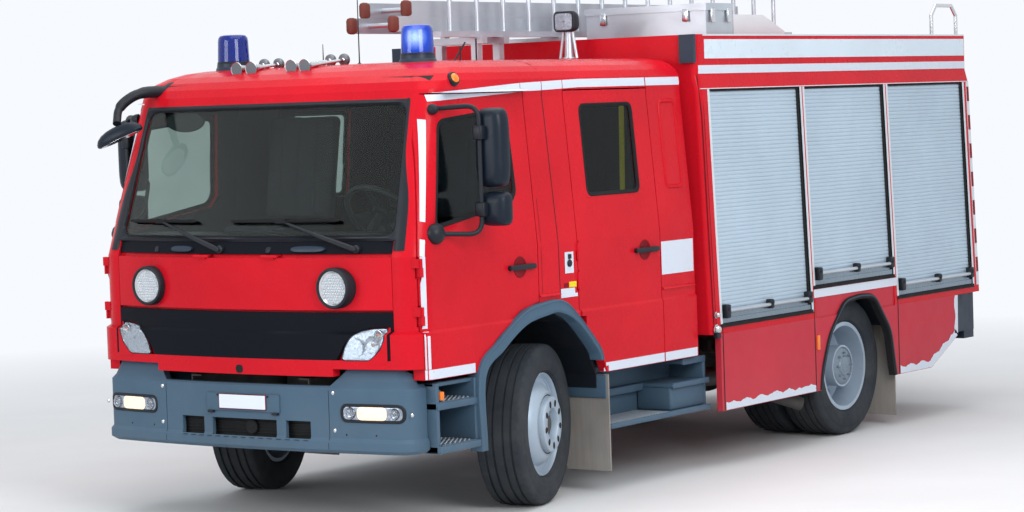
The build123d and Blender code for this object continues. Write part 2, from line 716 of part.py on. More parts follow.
keep("knuckle_left", turned(knuckle(1), 1))
keep("knuckle_right", turned(knuckle(-1), -1))


def rest_pin(side):
    """The track rod pin's place with the wheels at their rest angle."""
    tip_x, tip_s = arm_tip(side)
    angle = math.radians(REST_STEER)
    dx = tip_x - side * KINGPIN_X
    return (side * KINGPIN_X + dx * math.cos(angle) - tip_s * math.sin(angle),
            dx * math.sin(angle) + tip_s * math.cos(angle))


def tie_rod():
    """The track rod, an eye at each end round a steering arm's pin."""
    ends = [rest_pin(1), rest_pin(-1)]
    bar = rod((ends[0][0], ends[0][1], 322), (ends[1][0], ends[1][1], 322), TIE_ROD_RADIUS)
    for x, station in ends:
        bar += upright(x, station, 302, ARM_Z - SHAFT_CLEARANCE, 26)
    for x, station in ends:
        bar -= upright(x, station, 290, 360, 10 + SHAFT_CLEARANCE)
    return bar


keep("tie_rod", tie_rod())


# Wheels

def turned_profile(points, centre_x, station):
    """A ring turned about the wheel's axle, from its section in x and radius."""
    face = make_face(Polyline(*[(x, 0, radius) for x, radius in points], close=True))
    ring = revolve(face, axis=Axis.X)
    return Pos(centre_x, station, TYRE_RADIUS) * ring


HALF_W = TYRE_WIDTH / 2
TYRE_SECTION = ((-105, RIM_RADIUS), (-105, 300), (-132, 306), (-HALF_W, 345), (-HALF_W, 400), (-128, 445), (-108, TYRE_RADIUS),
                (108, TYRE_RADIUS), (128, 445), (HALF_W, 400), (HALF_W, 345), (132, 306), (105, 300), (105, RIM_RADIUS))


def rim(dish, bore, side, centre_x, station, flat):
    """A disc wheel. Its centre disc stands out from the tyre's middle by dish, outward positive."""
    half = RIM_WIDTH / 2 - 2
    sign = 1 if dish > 0 else -1
    seat = sign * 60
    outline = [(-half, FLANGE_RADIUS), (-half, RIM_RADIUS - RIM_WALL), (half, RIM_RADIUS - RIM_WALL),
               (half, FLANGE_RADIUS), (half - 10, FLANGE_RADIUS), (half - 12, RIM_RADIUS),
               (-half + 12, RIM_RADIUS), (-half + 10, FLANGE_RADIUS)]
    barrel = turned_profile([(side * x, r) for x, r in outline], centre_x, station)
    disc_points = [(seat - 8, RIM_RADIUS - 4), (seat + 8, RIM_RADIUS - 4), (dish + 7, flat), (dish + 7, bore),
                   (dish - 7, bore), (dish - 7, flat)]
    disc = turned_profile([(side * x, r) for x, r in disc_points], centre_x, station)
    hole_radius = (RIM_RADIUS + flat) / 2 - 8
    for turn in range(10):
        angle = math.radians(36 * turn + 18)
        start = (centre_x - 300, station + hole_radius * math.cos(angle),
                 TYRE_RADIUS + hole_radius * math.sin(angle))
        disc -= rod(start, (centre_x + 300, start[1], start[2]), 22)
    return barrel + disc


FRONT_DISH = 150
REAR_DISH = -TWIN_SPACING / 2 + 7
for name, side in (("fl", 1), ("fr", -1)):
    x = side * HALF_TRACK
    tyre = turned_profile([(side * a, r) for a, r in TYRE_SECTION], x, 0)
    wheel = rim(FRONT_DISH, STUB_RADIUS + SHAFT_CLEARANCE, side, x, 0, 190)
    hub = across(min(side * 925, side * 1128), max(side * 925, side * 1128), 0, TYRE_RADIUS, HUB_RADIUS - 20)
    hub += across(min(side * 1120, side * 1168), max(side * 1120, side * 1168), 0, TYRE_RADIUS, 105)
    hub -= across(min(side * 900, side * 1121), max(side * 900, side * 1121), 0, TYRE_RADIUS,
                  STUB_RADIUS + SHAFT_CLEARANCE)
    keep("tyre_" + name, turned(tyre, side))
    keep("rim_" + name, turned(wheel + hub, side))
for name, side in (("rl", 1), ("rr", -1)):
    outer = side * TWIN_OUTER_X
    inner = side * (TWIN_OUTER_X - TWIN_SPACING)
    tyres = [turned_profile([(side * a, r) for a, r in TYRE_SECTION], x, WHEELBASE) for x in (outer, inner)]
    wheels = rim(REAR_DISH, REAR_STUB_RADIUS + SHAFT_CLEARANCE, side, outer, WHEELBASE, 190)
    wheels += rim(-REAR_DISH, REAR_STUB_RADIUS + SHAFT_CLEARANCE, side, inner, WHEELBASE, 190)
    hub = across(min(side * 838, side * 1100), max(side * 838, side * 1100), WHEELBASE, TYRE_RADIUS, HUB_RADIUS)
    hub -= across(min(side * 800, side * 1091), max(side * 800, side * 1091), WHEELBASE, TYRE_RADIUS,
                  REAR_STUB_RADIUS + SHAFT_CLEARANCE)
    keep("tyre_" + name, *tyres)
    keep("rim_" + name, wheels + hub)


# Body

BODY_ROWS = ((RAIL_TOP, BODY_HALF), (BAY_TOP, BAY_TOP_HALF), (2440, UPPER_HALF), (BODY_TOP, UPPER_HALF))


def body_form(inset=0):
    """The body's outside above the skirts, leaning in toward the roof."""
    outline = [(half - inset, z) for z, half in BODY_ROWS]
    outline += [(-x, z) for x, z in reversed(outline)]
    return front_prism(outline, BODY_FRONT, BODY_REAR)


BAYS = ((0, 1), (1, 2), (2, 3))


def bay_range(bay):
    """The stations between which a bay is open."""
    start = DIVIDERS[bay[0]] + DIVIDER_THICK / 2
    return start, DIVIDERS[bay[1]] - DIVIDER_THICK / 2


def bay_bottom(bay):
    return ARCH_BAY_BOTTOM if bay == (1, 2) else RAIL_TOP + BODY_FLOOR


def body_shell():
    """The hollow body: three bays open at both sides, a roof tray and the rear doorway."""
    shell = body_form()
    corners = [edge for edge in shell.edges()
               if edge.bounding_box().max.Y < BODY_FRONT + 1 and edge.bounding_box().size.Z > 10]
    shell = fillet(corners, CORNER_RADIUS)
    for bay in BAYS:
        start, stop = bay_range(bay)
        shell -= box(-OUTER_X, OUTER_X, start, stop, bay_bottom(bay), BAY_TOP)
    start, stop = bay_range((1, 2))
    shell -= box(-OUTER_X, OUTER_X, start, stop, RAIL_TOP - 5, ARCH_BAY_BOTTOM - ARCH_BAY_FLOOR)
    shell -= box(-UPPER_HALF + PARAPET, UPPER_HALF - PARAPET, BODY_FRONT + PARAPET, BODY_REAR - PARAPET, DECK_Z, BODY_TOP + 5)
    shell -= box(-700, 700, DIVIDERS[3] - DIVIDER_THICK / 2 - 10, BODY_REAR + 5, RAIL_TOP + BODY_FLOOR, 2250)
    return shell


keep("body_shell", body_shell())

shutter_skin = body_form(SHUTTER_INSET) - body_form(SHUTTER_INSET + SHUTTER_THICK)
shutters = []
for bay in BAYS:
    start, stop = bay_range(bay)
    curtain = shutter_skin & box(0, OUTER_X, start, stop, bay_bottom(bay), BAY_TOP)
    shutters.extend(both(curtain))
shutters.append(box(-700, 700, BODY_REAR - 35, BODY_REAR - 15, RAIL_TOP + BODY_FLOOR, 2250))
keep("shutters", *shutters)

# The rear arch's corners, as stations behind the rear axle and heights
REAR_ARCH = [(WHEELBASE + offset, z) for offset, z in
             ((-541, 300), (-520, 488), (-413, 710), (-198, 911), (11, 932), (208, 920), (424, 671), (494, 300))]
SKIRT_REAR_END = BODY_REAR - 345
SKIRT_REAR = ((DIVIDERS[2], SKIRT_BOTTOM), (SKIRT_REAR_END - 430, SKIRT_BOTTOM), (SKIRT_REAR_END - 10, 547),
              (SKIRT_REAR_END, RAIL_TOP), (DIVIDERS[2], RAIL_TOP))
skirt_front = box(BODY_HALF - SKIRT_THICK, BODY_HALF, DIVIDERS[0], DIVIDERS[1], SKIRT_BOTTOM, RAIL_TOP)
skirt_arch = box(BODY_HALF - SKIRT_THICK, BODY_HALF, DIVIDERS[1], DIVIDERS[2], SKIRT_BOTTOM, RAIL_TOP)
skirt_arch += box(BODY_HALF - SKIRT_THICK, BODY_HALF - 9, DIVIDERS[1] + DIVIDER_THICK / 2,
                  DIVIDERS[2] - DIVIDER_THICK / 2, RAIL_TOP, ARCH_BAY_BOTTOM - ARCH_BAY_FLOOR)
skirt_arch -= side_prism(REAR_ARCH, 1100, OUTER_X)
skirt_rear = side_prism(SKIRT_REAR, BODY_HALF - SKIRT_THICK, BODY_HALF)
keep("body_skirts", *both(skirt_front), *both(skirt_arch), *both(skirt_rear))

rear_bumper = box(-BODY_HALF + 70, BODY_HALF - 70, BODY_REAR - 120, REAR_END, 500, 560)
rear_bumper += box(-RAIL_HALF, RAIL_HALF, RAIL_REAR, BODY_REAR, 560, 760)
rear_panel = box(-BODY_HALF + 50, BODY_HALF - 50, BODY_REAR - 40, BODY_REAR, 560, RAIL_TOP)
for x in (-TOW_PIN_X, TOW_PIN_X):
    rear_bumper -= upright(x, TOW_PIN_S, 490, 570, TOW_PIN_RADIUS)
rear_corners = both(box(BODY_HALF - 90, BODY_HALF - 50, SKIRT_REAR_END, BODY_REAR, 560, RAIL_TOP))
keep("rear_bumper", rear_bumper + rear_panel + rear_corners[0] + rear_corners[1])

# Roof load
end_cap = box(UPPER_HALF - 100, UPPER_HALF + 5, BODY_FRONT - 30, BODY_FRONT, 2515, BODY_TOP)
keep("roof_caps", *both(end_cap))

BOX_X = (160, 1060)
BOX_S = (2000, 2320)
BOX_TOP = 2890
roof_box = box(*BOX_X, *BOX_S, DECK_Z, BOX_TOP - 45) - box(BOX_X[0] + 12, BOX_X[1] - 12, BOX_S[0] + 12,
                                                       BOX_S[1] - 12, DECK_Z + 12, BOX_TOP)
LID_THICK = 45
LID_LIP = 8
PIN_RADIUS = 6
BOX_AXIS_X = BOX_X[0] - LID_LIP
BOX_AXIS_Z = BOX_TOP - LID_THICK
lid = box(BOX_X[0] - LID_LIP, BOX_X[1] + LID_LIP, BOX_S[0] - LID_LIP, BOX_S[1] + LID_LIP,
          BOX_AXIS_Z + SHAFT_CLEARANCE, BOX_TOP)
for end in (BOX_S[0] + 40, BOX_S[1] - 100):
    lid += rod((BOX_AXIS_X, end, BOX_AXIS_Z), (BOX_AXIS_X, end + 30, BOX_AXIS_Z), PIN_RADIUS)
    lid -= rod((BOX_AXIS_X, end + 30 + SHAFT_CLEARANCE, BOX_AXIS_Z), (BOX_AXIS_X, end + 61, BOX_AXIS_Z), PIN_RADIUS + 5)
    barrel = rod((BOX_AXIS_X, end + 30.6, BOX_AXIS_Z), (BOX_AXIS_X, end + 60, BOX_AXIS_Z), PIN_RADIUS)
    roof_box += barrel + box(BOX_AXIS_X, BOX_X[0], end + 30.6, end + 60, BOX_AXIS_Z - PIN_RADIUS, BOX_AXIS_Z)
keep("roof_box", roof_box)
keep("roof_box_lid", lid)

HATCH = ((2385, DECK_Z), (2385, 2822), (2757, 2822), (3029, 2717), (3029, DECK_Z))
keep("roof_hatch", side_prism(HATCH, 480, 1030))

# Ladders stored on a gantry over the roof
FLAT_X = -260
FLAT_GAUGE = 320
FLAT_START = 320
FLAT_END = 4300
FLAT_Z = 2757
FLAT_HEIGHT = 93
SECTION_STEP = 130
RUNG_PITCH = 280


def flat_ladder(start, low):
    """A ladder section lying flat: two rails and the rungs between them."""
    ladder = None
    for side in (-1, 1):
        x = FLAT_X + side * FLAT_GAUGE / 2
        bar = box(x - 18, x + 18, start, FLAT_END, low, low + FLAT_HEIGHT)
        ladder = bar if ladder is None else ladder + bar
    count = int((FLAT_END - start) / RUNG_PITCH)
    for index in range(count):
        station = start + RUNG_PITCH / 2 + index * RUNG_PITCH
        ladder += across(FLAT_X - FLAT_GAUGE / 2, FLAT_X + FLAT_GAUGE / 2, station, low + FLAT_HEIGHT / 2, 15)
    return ladder


EDGE_X = -10
EDGE_START = 620
EDGE_END = 4880
EDGE_Z = 2720
EDGE_HEIGHT = 330


def edge_ladder():
    """A ladder stored on its edge, so that its rungs stand upright."""
    ladder = box(EDGE_X - 35, EDGE_X + 35, EDGE_START, EDGE_END, EDGE_Z, EDGE_Z + 36)
    ladder += box(EDGE_X - 35, EDGE_X + 35, EDGE_START, EDGE_END, EDGE_Z + EDGE_HEIGHT - 36,
                  EDGE_Z + EDGE_HEIGHT)
    count = int((EDGE_END - EDGE_START) / RUNG_PITCH)
    for index in range(count):
        station = EDGE_START + RUNG_PITCH / 2 + index * RUNG_PITCH
        ladder += upright(EDGE_X, station, EDGE_Z + 30, EDGE_Z + EDGE_HEIGHT - 30, 15)
    return ladder


keep("ladders", flat_ladder(FLAT_START, FLAT_Z),
     flat_ladder(FLAT_START + SECTION_STEP, FLAT_Z + FLAT_HEIGHT + SHAFT_CLEARANCE), edge_ladder())


def gantry():
    """Cross bars on feet that carry the ladders above the cab and the body."""
    frame = []
    for station, base in ((1020, ROOF_Z), (1250, ROOF_Z), (1900, DECK_Z), (3250, DECK_Z), (4200, DECK_Z)):
        bar = box(-500, 60, station - 25, station + 25, EDGE_Z - 40, EDGE_Z)
        for side in (-1, 1):
            x = FLAT_X + side * FLAT_GAUGE / 2
            bar += box(x - 18, x + 18, station - 25, station + 25, EDGE_Z, FLAT_Z)
        bar += box(-480, -430, station - 25, station + 25, base, EDGE_Z - 40)
        bar += box(-30, 20, station - 25, station + 25, base, EDGE_Z - 40)
        frame.append(bar)
    return frame


keep("ladder_gantry", *gantry())

HOOP_X = UPPER_HALF - PARAPET / 2
HOOP_S = (BODY_REAR - 435, BODY_REAR - 55)
HOOP_TOP = 2898
hoop = tube(((HOOP_X, HOOP_S[0], BODY_TOP), (HOOP_X, HOOP_S[0], HOOP_TOP - 70), (HOOP_X, HOOP_S[0] + 70, HOOP_TOP),
             (HOOP_X, HOOP_S[1] - 70, HOOP_TOP), (HOOP_X, HOOP_S[1], HOOP_TOP - 70), (HOOP_X, HOOP_S[1], BODY_TOP)), 14)
keep("roof_hoop", hoop)

for name, node in NODES.items():
    export_step(node, "parts/" + name + ".step")
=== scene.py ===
import json
import math

import bmesh
import bpy
from mathutils import Matrix, Vector
from mathutils.bvhtree import BVHTree


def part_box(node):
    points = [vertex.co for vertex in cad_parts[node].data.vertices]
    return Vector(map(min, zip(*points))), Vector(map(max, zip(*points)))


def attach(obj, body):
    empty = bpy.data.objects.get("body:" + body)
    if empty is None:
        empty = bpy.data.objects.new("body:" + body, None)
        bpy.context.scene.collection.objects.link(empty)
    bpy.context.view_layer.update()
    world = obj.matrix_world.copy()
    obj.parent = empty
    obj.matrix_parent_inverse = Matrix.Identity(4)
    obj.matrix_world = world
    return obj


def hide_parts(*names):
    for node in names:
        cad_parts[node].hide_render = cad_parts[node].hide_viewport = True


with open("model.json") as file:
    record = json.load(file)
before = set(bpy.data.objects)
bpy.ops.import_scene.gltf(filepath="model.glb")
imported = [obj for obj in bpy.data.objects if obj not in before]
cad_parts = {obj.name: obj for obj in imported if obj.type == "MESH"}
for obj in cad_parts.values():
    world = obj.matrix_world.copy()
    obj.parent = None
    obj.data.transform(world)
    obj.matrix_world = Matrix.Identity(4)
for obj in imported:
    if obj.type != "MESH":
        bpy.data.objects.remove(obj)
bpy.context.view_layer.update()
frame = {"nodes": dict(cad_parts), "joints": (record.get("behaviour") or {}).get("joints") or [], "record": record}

NODES = frame["nodes"]
JOINTS = {joint["name"]: joint for joint in frame["joints"]}

# Lengths are in metres. Stations run rearward from the front axle.
AXLE_Y = JOINTS["steer_left"]["pos_m"][1]
AXLE_Z = JOINTS["steer_left"]["pos_m"][2]
REAR_AXLE = JOINTS["wheel_rl_spin"]["pos_m"][1] - AXLE_Y
KINGPIN_X = JOINTS["steer_left"]["pos_m"][0]
SIDES = (1, -1)
SIDE_ENDS = ((1, "l"), (-1, "r"))
SKIN_GAP = 0.0015


def at(station):
    """The y coordinate of a station."""
    return AXLE_Y + station


# Camera

CAMERA_PLACE = (10.183, at(-12.852), 2.297)
CAMERA_YAW = math.radians(-35.71)
CAMERA_PITCH = math.radians(3.13)
CAMERA_ROLL = math.radians(1.93)
CAMERA_LENS = 97.42


def make_camera():
    yaw, pitch, roll = CAMERA_YAW, CAMERA_PITCH, CAMERA_ROLL
    ahead = Vector((math.sin(yaw) * math.cos(pitch), math.cos(yaw) * math.cos(pitch), -math.sin(pitch)))
    level = Vector((math.cos(yaw), -math.sin(yaw), 0))
    down = ahead.cross(level)
    right = level * math.cos(roll) + down * math.sin(roll)
    up = level * math.sin(roll) - down * math.cos(roll)
    data = bpy.data.cameras.new("camera")
    data.lens = CAMERA_LENS
    data.sensor_width = 36
    data.clip_end = 200
    camera = bpy.data.objects.new("camera", data)
    turn = Matrix((right, up, -ahead)).transposed().to_4x4()
    camera.matrix_world = Matrix.Translation(CAMERA_PLACE) @ turn
    bpy.context.scene.collection.objects.link(camera)
    bpy.context.scene.camera = camera


# Materials

class Graph:
    """A material's node tree, with short ways to add nodes and link them."""

    def __init__(self, name):
        self.material = bpy.data.materials.new(name)
        self.material.use_nodes = True
        self.tree = self.material.node_tree
        self.shader = self.tree.nodes["Principled BSDF"]
        self.place = self.add("ShaderNodeTexCoord").outputs["Object"]

    def add(self, kind, inputs=None, **settings):
        node = self.tree.nodes.new(kind)
        for key, value in settings.items():
            setattr(node, key, value)
        for key, value in (inputs or {}).items():
            self.put(node.inputs[key], value)
        return node

    def put(self, socket, value):
        if isinstance(value, bpy.types.NodeSocket):
            self.tree.links.new(value, socket)
        else:
            socket.default_value = value

    def noise(self, scale, detail=4.0, rough=0.55, stretch=None):
        place = self.place
        if stretch:
            place = self.add("ShaderNodeMapping", {"Vector": place, "Scale": stretch}).outputs[0]
        node = self.add("ShaderNodeTexNoise", {"Vector": place, "Scale": scale, "Detail": detail,
                                               "Roughness": rough})
        return node.outputs["Fac"]

    def ramp(self, value, low, high, start=0.0, end=1.0):
        node = self.add("ShaderNodeMapRange", {"Value": value, "From Min": low, "From Max": high,
                                               "To Min": start, "To Max": end})
        return node.outputs["Result"]

    def mix(self, amount, first, second):
        node = self.add("ShaderNodeMix", data_type="RGBA")
        self.put(node.inputs[0], amount)
        self.put(node.inputs[6], first)
        self.put(node.inputs[7], second)
        return node.outputs[2]

    def maths(self, operation, first, second=0.0, clamp=False):
        node = self.add("ShaderNodeMath", operation=operation, use_clamp=clamp)
        self.put(node.inputs[0], first)
        self.put(node.inputs[1], second)
        return node.outputs[0]

    def height(self):
        return self.add("ShaderNodeSeparateXYZ", {"Vector": self.place}).outputs["Z"]

    def bump(self, value, strength, distance=0.001, bevel=None):
        inputs = {"Height": value, "Strength": strength, "Distance": distance}
        if bevel:
            inputs["Normal"] = self.add("ShaderNodeBevel", {"Radius": bevel}, samples=4).outputs[0]
        node = self.add("ShaderNodeBump", inputs)
        self.put(self.shader.inputs["Normal"], node.outputs[0])

    def set(self, **values):
        for key, value in values.items():
            self.put(self.shader.inputs[key.replace("_", " ")], value)
        return self.material


def rgb(*values):
    return (*values, 1.0)


def upright(a0, a1, z0, z1):
    """An upright rectangle as an outline."""
    return (a0, z0), (a0, z1), (a1, z1), (a1, z0)


def turns(count):
    """Evenly spaced angles of a full turn."""
    return [math.tau * k / count for k in range(count)]


def squared(angle, power):
    """A point of a circle swollen toward a square as its power falls below 1."""
    c, s = math.cos(angle), math.sin(angle)
    return math.copysign(abs(c) ** power, c), math.copysign(abs(s) ** power, s)


DUST = rgb(0.30, 0.27, 0.24)


def finish(name, colour, rough, metal=0.0, vary=0.12, grain=250.0, relief=0.15, dirt=0.0, dirt_top=1.0,
           coat=0.0, wear=0.0, wear_colour=DUST, streak=None, bevel=0.0, shine=0.25):
    """A surface whose colour, roughness and relief vary, with dust that thins out upward."""
    g = Graph(name)
    broad = g.noise(1.7, 3)
    fine = g.noise(grain, 3, 0.6, streak)
    dark = rgb(*[c * (1 - vary) for c in colour])
    light = rgb(*[min(1, c * (1 + vary)) for c in colour])
    tint = g.mix(g.ramp(broad, 0.3, 0.7), dark, light)
    tint = g.mix(g.ramp(fine, 0.35, 0.65, 0.0, 0.35), tint, dark)
    if wear:
        spots = g.ramp(g.noise(38, 6, 0.7), 0.62, 0.72, 0.0, wear)
        tint = g.mix(spots, tint, rgb(*wear_colour[:3]))
    if dirt:
        low = g.ramp(g.height(), dirt_top, dirt_top * 0.25, 0.0, dirt)
        patches = g.ramp(g.noise(5.5, 8, 0.65), 0.35, 0.75, 0.25, 1.0)
        tint = g.mix(g.maths("MULTIPLY", low, patches, True), tint, DUST)
    g.bump(fine, relief, 0.0006, bevel or None)
    spread = g.ramp(g.noise(9, 5), 0.3, 0.7, max(0.02, rough - 0.06), min(1, rough + 0.1))
    g.set(Base_Color=tint, Roughness=spread, Metallic=metal, Specular_IOR_Level=shine)
    if coat:
        g.set(Coat_Weight=coat, Coat_Roughness=0.06)
    return g.material


def clear(name, colour, rough=0.02, ior=1.45, depth=1.0, ripple=3.0, shine=0.5):
    """Glass or clear plastic with a faint ripple."""
    g = Graph(name)
    g.bump(g.noise(ripple, 2), 0.02, 0.001)
    smear = g.ramp(g.noise(6, 6, 0.7), 0.45, 0.8, rough, rough + 0.05)
    tone = g.mix(g.ramp(g.noise(2.2, 3), 0.3, 0.7), rgb(*colour), rgb(*[c * 0.85 for c in colour]))
    return g.set(Base_Color=tone, Roughness=smear, Transmission_Weight=depth, IOR=ior,
                 Specular_IOR_Level=shine)


def glowing(name, colour, strength):
    """A glowing surface, brighter in its middle grain: a lit lamp's bright core, and painted light on the crew
    pole.
    """
    g = Graph(name)
    cells = g.add("ShaderNodeTexVoronoi", {"Vector": g.place, "Scale": 160.0}).outputs["Distance"]
    tone = g.mix(g.ramp(cells, 0.0, 0.6), rgb(*colour), rgb(*[c * 0.6 for c in colour]))
    return g.set(Base_Color=tone, Roughness=0.3, Emission_Color=tone, Emission_Strength=strength)


def reflective(name, under):
    """Retroreflective film with a fine cell pattern, chipped through to the paint under it."""
    g = Graph(name)
    cells = g.add("ShaderNodeTexVoronoi", {"Vector": g.place, "Scale": 420.0}).outputs["Distance"]
    film = g.mix(g.ramp(cells, 0.0, 0.7), rgb(0.72, 0.77, 0.86), rgb(0.60, 0.66, 0.76))
    chips = g.ramp(g.noise(46, 7, 0.72), 0.655, 0.668)
    low = g.ramp(g.height(), 1.15, 0.75, 0.0, 1.0)
    tone = g.mix(g.maths("MULTIPLY", chips, low), film, rgb(*under))
    g.bump(cells, 0.08, 0.0004)
    return g.set(Base_Color=tone, Roughness=0.38)


# The cab's walls: the belt's height, half the width there and the lean above it
BELT_Z = 1.5
CAB_HALF = 1.165
LEAN = 0.0845
# The windscreen: its station at the belt, its slope, its bow and how the bow flattens upward
SCREEN_FOOT = -1.313
SCREEN_SLOPE = 0.399
SCREEN_BOW = 0.125
BOW_LOSS = 0.088
# The lining: its depth from the walls, its rear station and its top
LINING_DEPTH = 0.045
LINING_REAR = 1.58
LINING_TOP = 2.47


def lined(material):
    """Turns a cab paint into a dark lining wherever it lies inside the cab's walls."""
    g = Graph.__new__(Graph)
    g.material = material
    g.tree = material.node_tree
    g.shader = g.tree.nodes["Principled BSDF"]
    g.place = g.add("ShaderNodeTexCoord").outputs["Object"]
    parts = g.add("ShaderNodeSeparateXYZ", {"Vector": g.place}).outputs
    across = g.maths("ABSOLUTE", parts["X"])
    rise = g.maths("MAXIMUM", g.maths("SUBTRACT", parts["Z"], BELT_Z), 0.0)
    side = g.maths("SUBTRACT", CAB_HALF - LINING_DEPTH, g.maths("MULTIPLY", rise, LEAN))
    within = g.maths("LESS_THAN", across, side)
    bow = g.maths("MULTIPLY", g.maths("POWER", across, 2.0),
                  g.maths("SUBTRACT", SCREEN_BOW, g.maths("MULTIPLY", rise, BOW_LOSS)))
    front = g.maths("ADD", g.maths("ADD", SCREEN_FOOT, g.maths("MULTIPLY", rise, SCREEN_SLOPE)), bow)
    behind = g.maths("GREATER_THAN", g.maths("SUBTRACT", parts["Y"], AXLE_Y + LINING_DEPTH), front)
    ahead = g.maths("LESS_THAN", parts["Y"], at(LINING_REAR))
    below = g.maths("LESS_THAN", parts["Z"], LINING_TOP)
    mask = g.maths("MULTIPLY", g.maths("MULTIPLY", within, behind), g.maths("MULTIPLY", ahead, below))
    colour = g.shader.inputs["Base Color"].links[0].from_socket
    g.put(g.shader.inputs["Base Color"], g.mix(mask, colour, rgb(0.022, 0.024, 0.028)))
    rough = g.shader.inputs["Roughness"].links[0].from_socket
    g.put(g.shader.inputs["Roughness"], g.maths("MAXIMUM", rough, g.maths("MULTIPLY", mask, 0.8)))
    return material


def ribbed_lens():
    """Clear lamp cover with upright flutes."""
    g = Graph("ribbed_lens")
    wave = g.add("ShaderNodeTexWave", {"Vector": g.place, "Scale": 34.0, "Distortion": 0.3},
                 bands_direction="X")
    g.bump(wave.outputs["Fac"], 0.5, 0.0015)
    haze = g.ramp(g.noise(30, 5), 0.4, 0.7, 0.05, 0.16)
    return g.set(Base_Color=rgb(0.86, 0.91, 0.96), Roughness=haze, Transmission_Weight=0.85, IOR=1.3)


def reflector():
    """Bright faceted metal behind a lamp's cover."""
    g = Graph("reflector")
    cells = g.add("ShaderNodeTexVoronoi", {"Vector": g.place, "Scale": 70.0},
                  feature="F1").outputs["Distance"]
    tone = g.mix(g.ramp(cells, 0.1, 0.7), rgb(0.46, 0.50, 0.56), rgb(0.30, 0.34, 0.40))
    g.bump(cells, 0.10, 0.002)
    return g.set(Base_Color=tone, Metallic=0.75, Roughness=g.ramp(g.noise(40, 3), 0.3, 0.7, 0.16, 0.3))


RED = (0.58, 0.008, 0.019)
GLOSS = dict(vary=0.1, grain=600, relief=0.03, dirt=0.035, dirt_top=0.9, coat=0.05, bevel=0.003, shine=0.08)
RED_PAINT = finish("red_paint", RED, 0.24, **GLOSS)
CAB_PAINT = lined(finish("cab_paint", RED, 0.24, **GLOSS))
RIBBED_LENS = ribbed_lens()
REFLECTOR = reflector()
AMBER_BULB = finish("amber_bulb", (0.55, 0.16, 0.08), 0.2, grain=300, relief=0.1, coat=0.5)
MIRROR_SHELL = finish("mirror_shell", (0.007, 0.013, 0.023), 0.34, grain=900, relief=0.12, shine=0.2)
BAND_BLACK = finish("band_black", (0.0060, 0.0075, 0.012), 0.40, vary=0.05, grain=700, relief=0.05,
                    bevel=0.003, shine=0.05)
SKIRT_PAINT = finish("skirt_paint", (0.52, 0.036, 0.058), 0.42, vary=0.07, grain=500, relief=0.05, dirt=0.12,
                     dirt_top=0.7, bevel=0.003, shine=0.12)
# A deep red for marks, the plate rim and a pillar patch; on the handle cups it is painted shade of their recess.
DEEP_RED = finish("deep_red", (0.20, 0.004, 0.010), 0.4, vary=0.08, grain=600, relief=0.03, shine=0.1)
WHITE_PAINT = finish("white_paint", (0.74, 0.76, 0.80), 0.35, vary=0.05, relief=0.03, wear=0.1)
GREY_PLASTIC = finish("grey_plastic", (0.058, 0.112, 0.170), 0.52, vary=0.1, grain=900, relief=0.35,
                      dirt=0.12, dirt_top=0.9, bevel=0.004)
BLACK_PLASTIC = finish("black_plastic", (0.010, 0.013, 0.019), 0.42, grain=900, relief=0.3, bevel=0.003)
SLATE_PLASTIC = finish("slate_plastic", (0.018, 0.032, 0.055), 0.38, grain=900, relief=0.25)
TYRE_RUBBER = finish("tyre_rubber", (0.020, 0.028, 0.038), 0.8, vary=0.25, grain=120, relief=0.4, dirt=0.14,
                     dirt_top=1.6, shine=0.15)
# Dark rubber for seals, seams and edges; the same dark also serves as painted shade in the wheels' holes and along
# the shutter bays.
RUBBER_AND_SHADE = finish("rubber", (0.011, 0.012, 0.014), 0.75, grain=200, relief=0.3, dirt=0.06, shine=0.2)
DUSTY_RUBBER = finish("dusty_rubber", (0.27, 0.255, 0.24), 0.9, vary=0.35, grain=40, relief=0.4, dirt=0.5,
                      dirt_top=1.2, streak=(1, 1, 0.08), wear=0.3, wear_colour=(0.12, 0.11, 0.10))
SHUTTER_METAL = finish("shutter_metal", (0.47, 0.58, 0.68), 0.42, metal=0.35, vary=0.06, grain=300,
                       relief=0.05, streak=(1, 0.05, 1))
ALUMINIUM = finish("aluminium", (0.52, 0.57, 0.62), 0.36, metal=0.75, vary=0.1, grain=260, relief=0.1,
                   streak=(0.06, 0.06, 1), wear=0.15)
WHEEL_PAINT = finish("wheel_paint", (0.40, 0.50, 0.61), 0.4, metal=0.25, vary=0.1, grain=120, relief=0.12,
                     dirt=0.3, dirt_top=1.2, wear=0.25, wear_colour=(0.12, 0.08, 0.06))
CHASSIS_PAINT = finish("chassis_paint", (0.02, 0.021, 0.023), 0.6, grain=90, relief=0.3, dirt=0.55,
                       dirt_top=1.1)
CAST_METAL = finish("cast_metal", (0.07, 0.07, 0.072), 0.62, metal=0.5, grain=70, relief=0.5, dirt=0.4)
CHROME = finish("chrome", (0.62, 0.63, 0.65), 0.12, metal=1.0, vary=0.04, grain=80, relief=0.02)
HORN_METAL = finish("horn_metal", (0.16, 0.17, 0.19), 0.3, metal=0.8, grain=80, relief=0.05)
FABRIC = finish("fabric", (0.035, 0.04, 0.055), 0.95, vary=0.3, grain=1500, relief=0.6)
ORANGE_LENS = finish("orange_lens", (0.85, 0.20, 0.01), 0.18, grain=500, relief=0.3, coat=0.5)
RED_LENS = finish("red_lens", (0.55, 0.01, 0.01), 0.18, grain=500, relief=0.3, coat=0.5)
YELLOW = finish("yellow", (0.80, 0.62, 0.02), 0.45, grain=300, relief=0.1)
RAIL_METAL = finish("rail_metal", (0.66, 0.71, 0.76), 0.36, metal=0.3, vary=0.05, grain=300, relief=0.05)
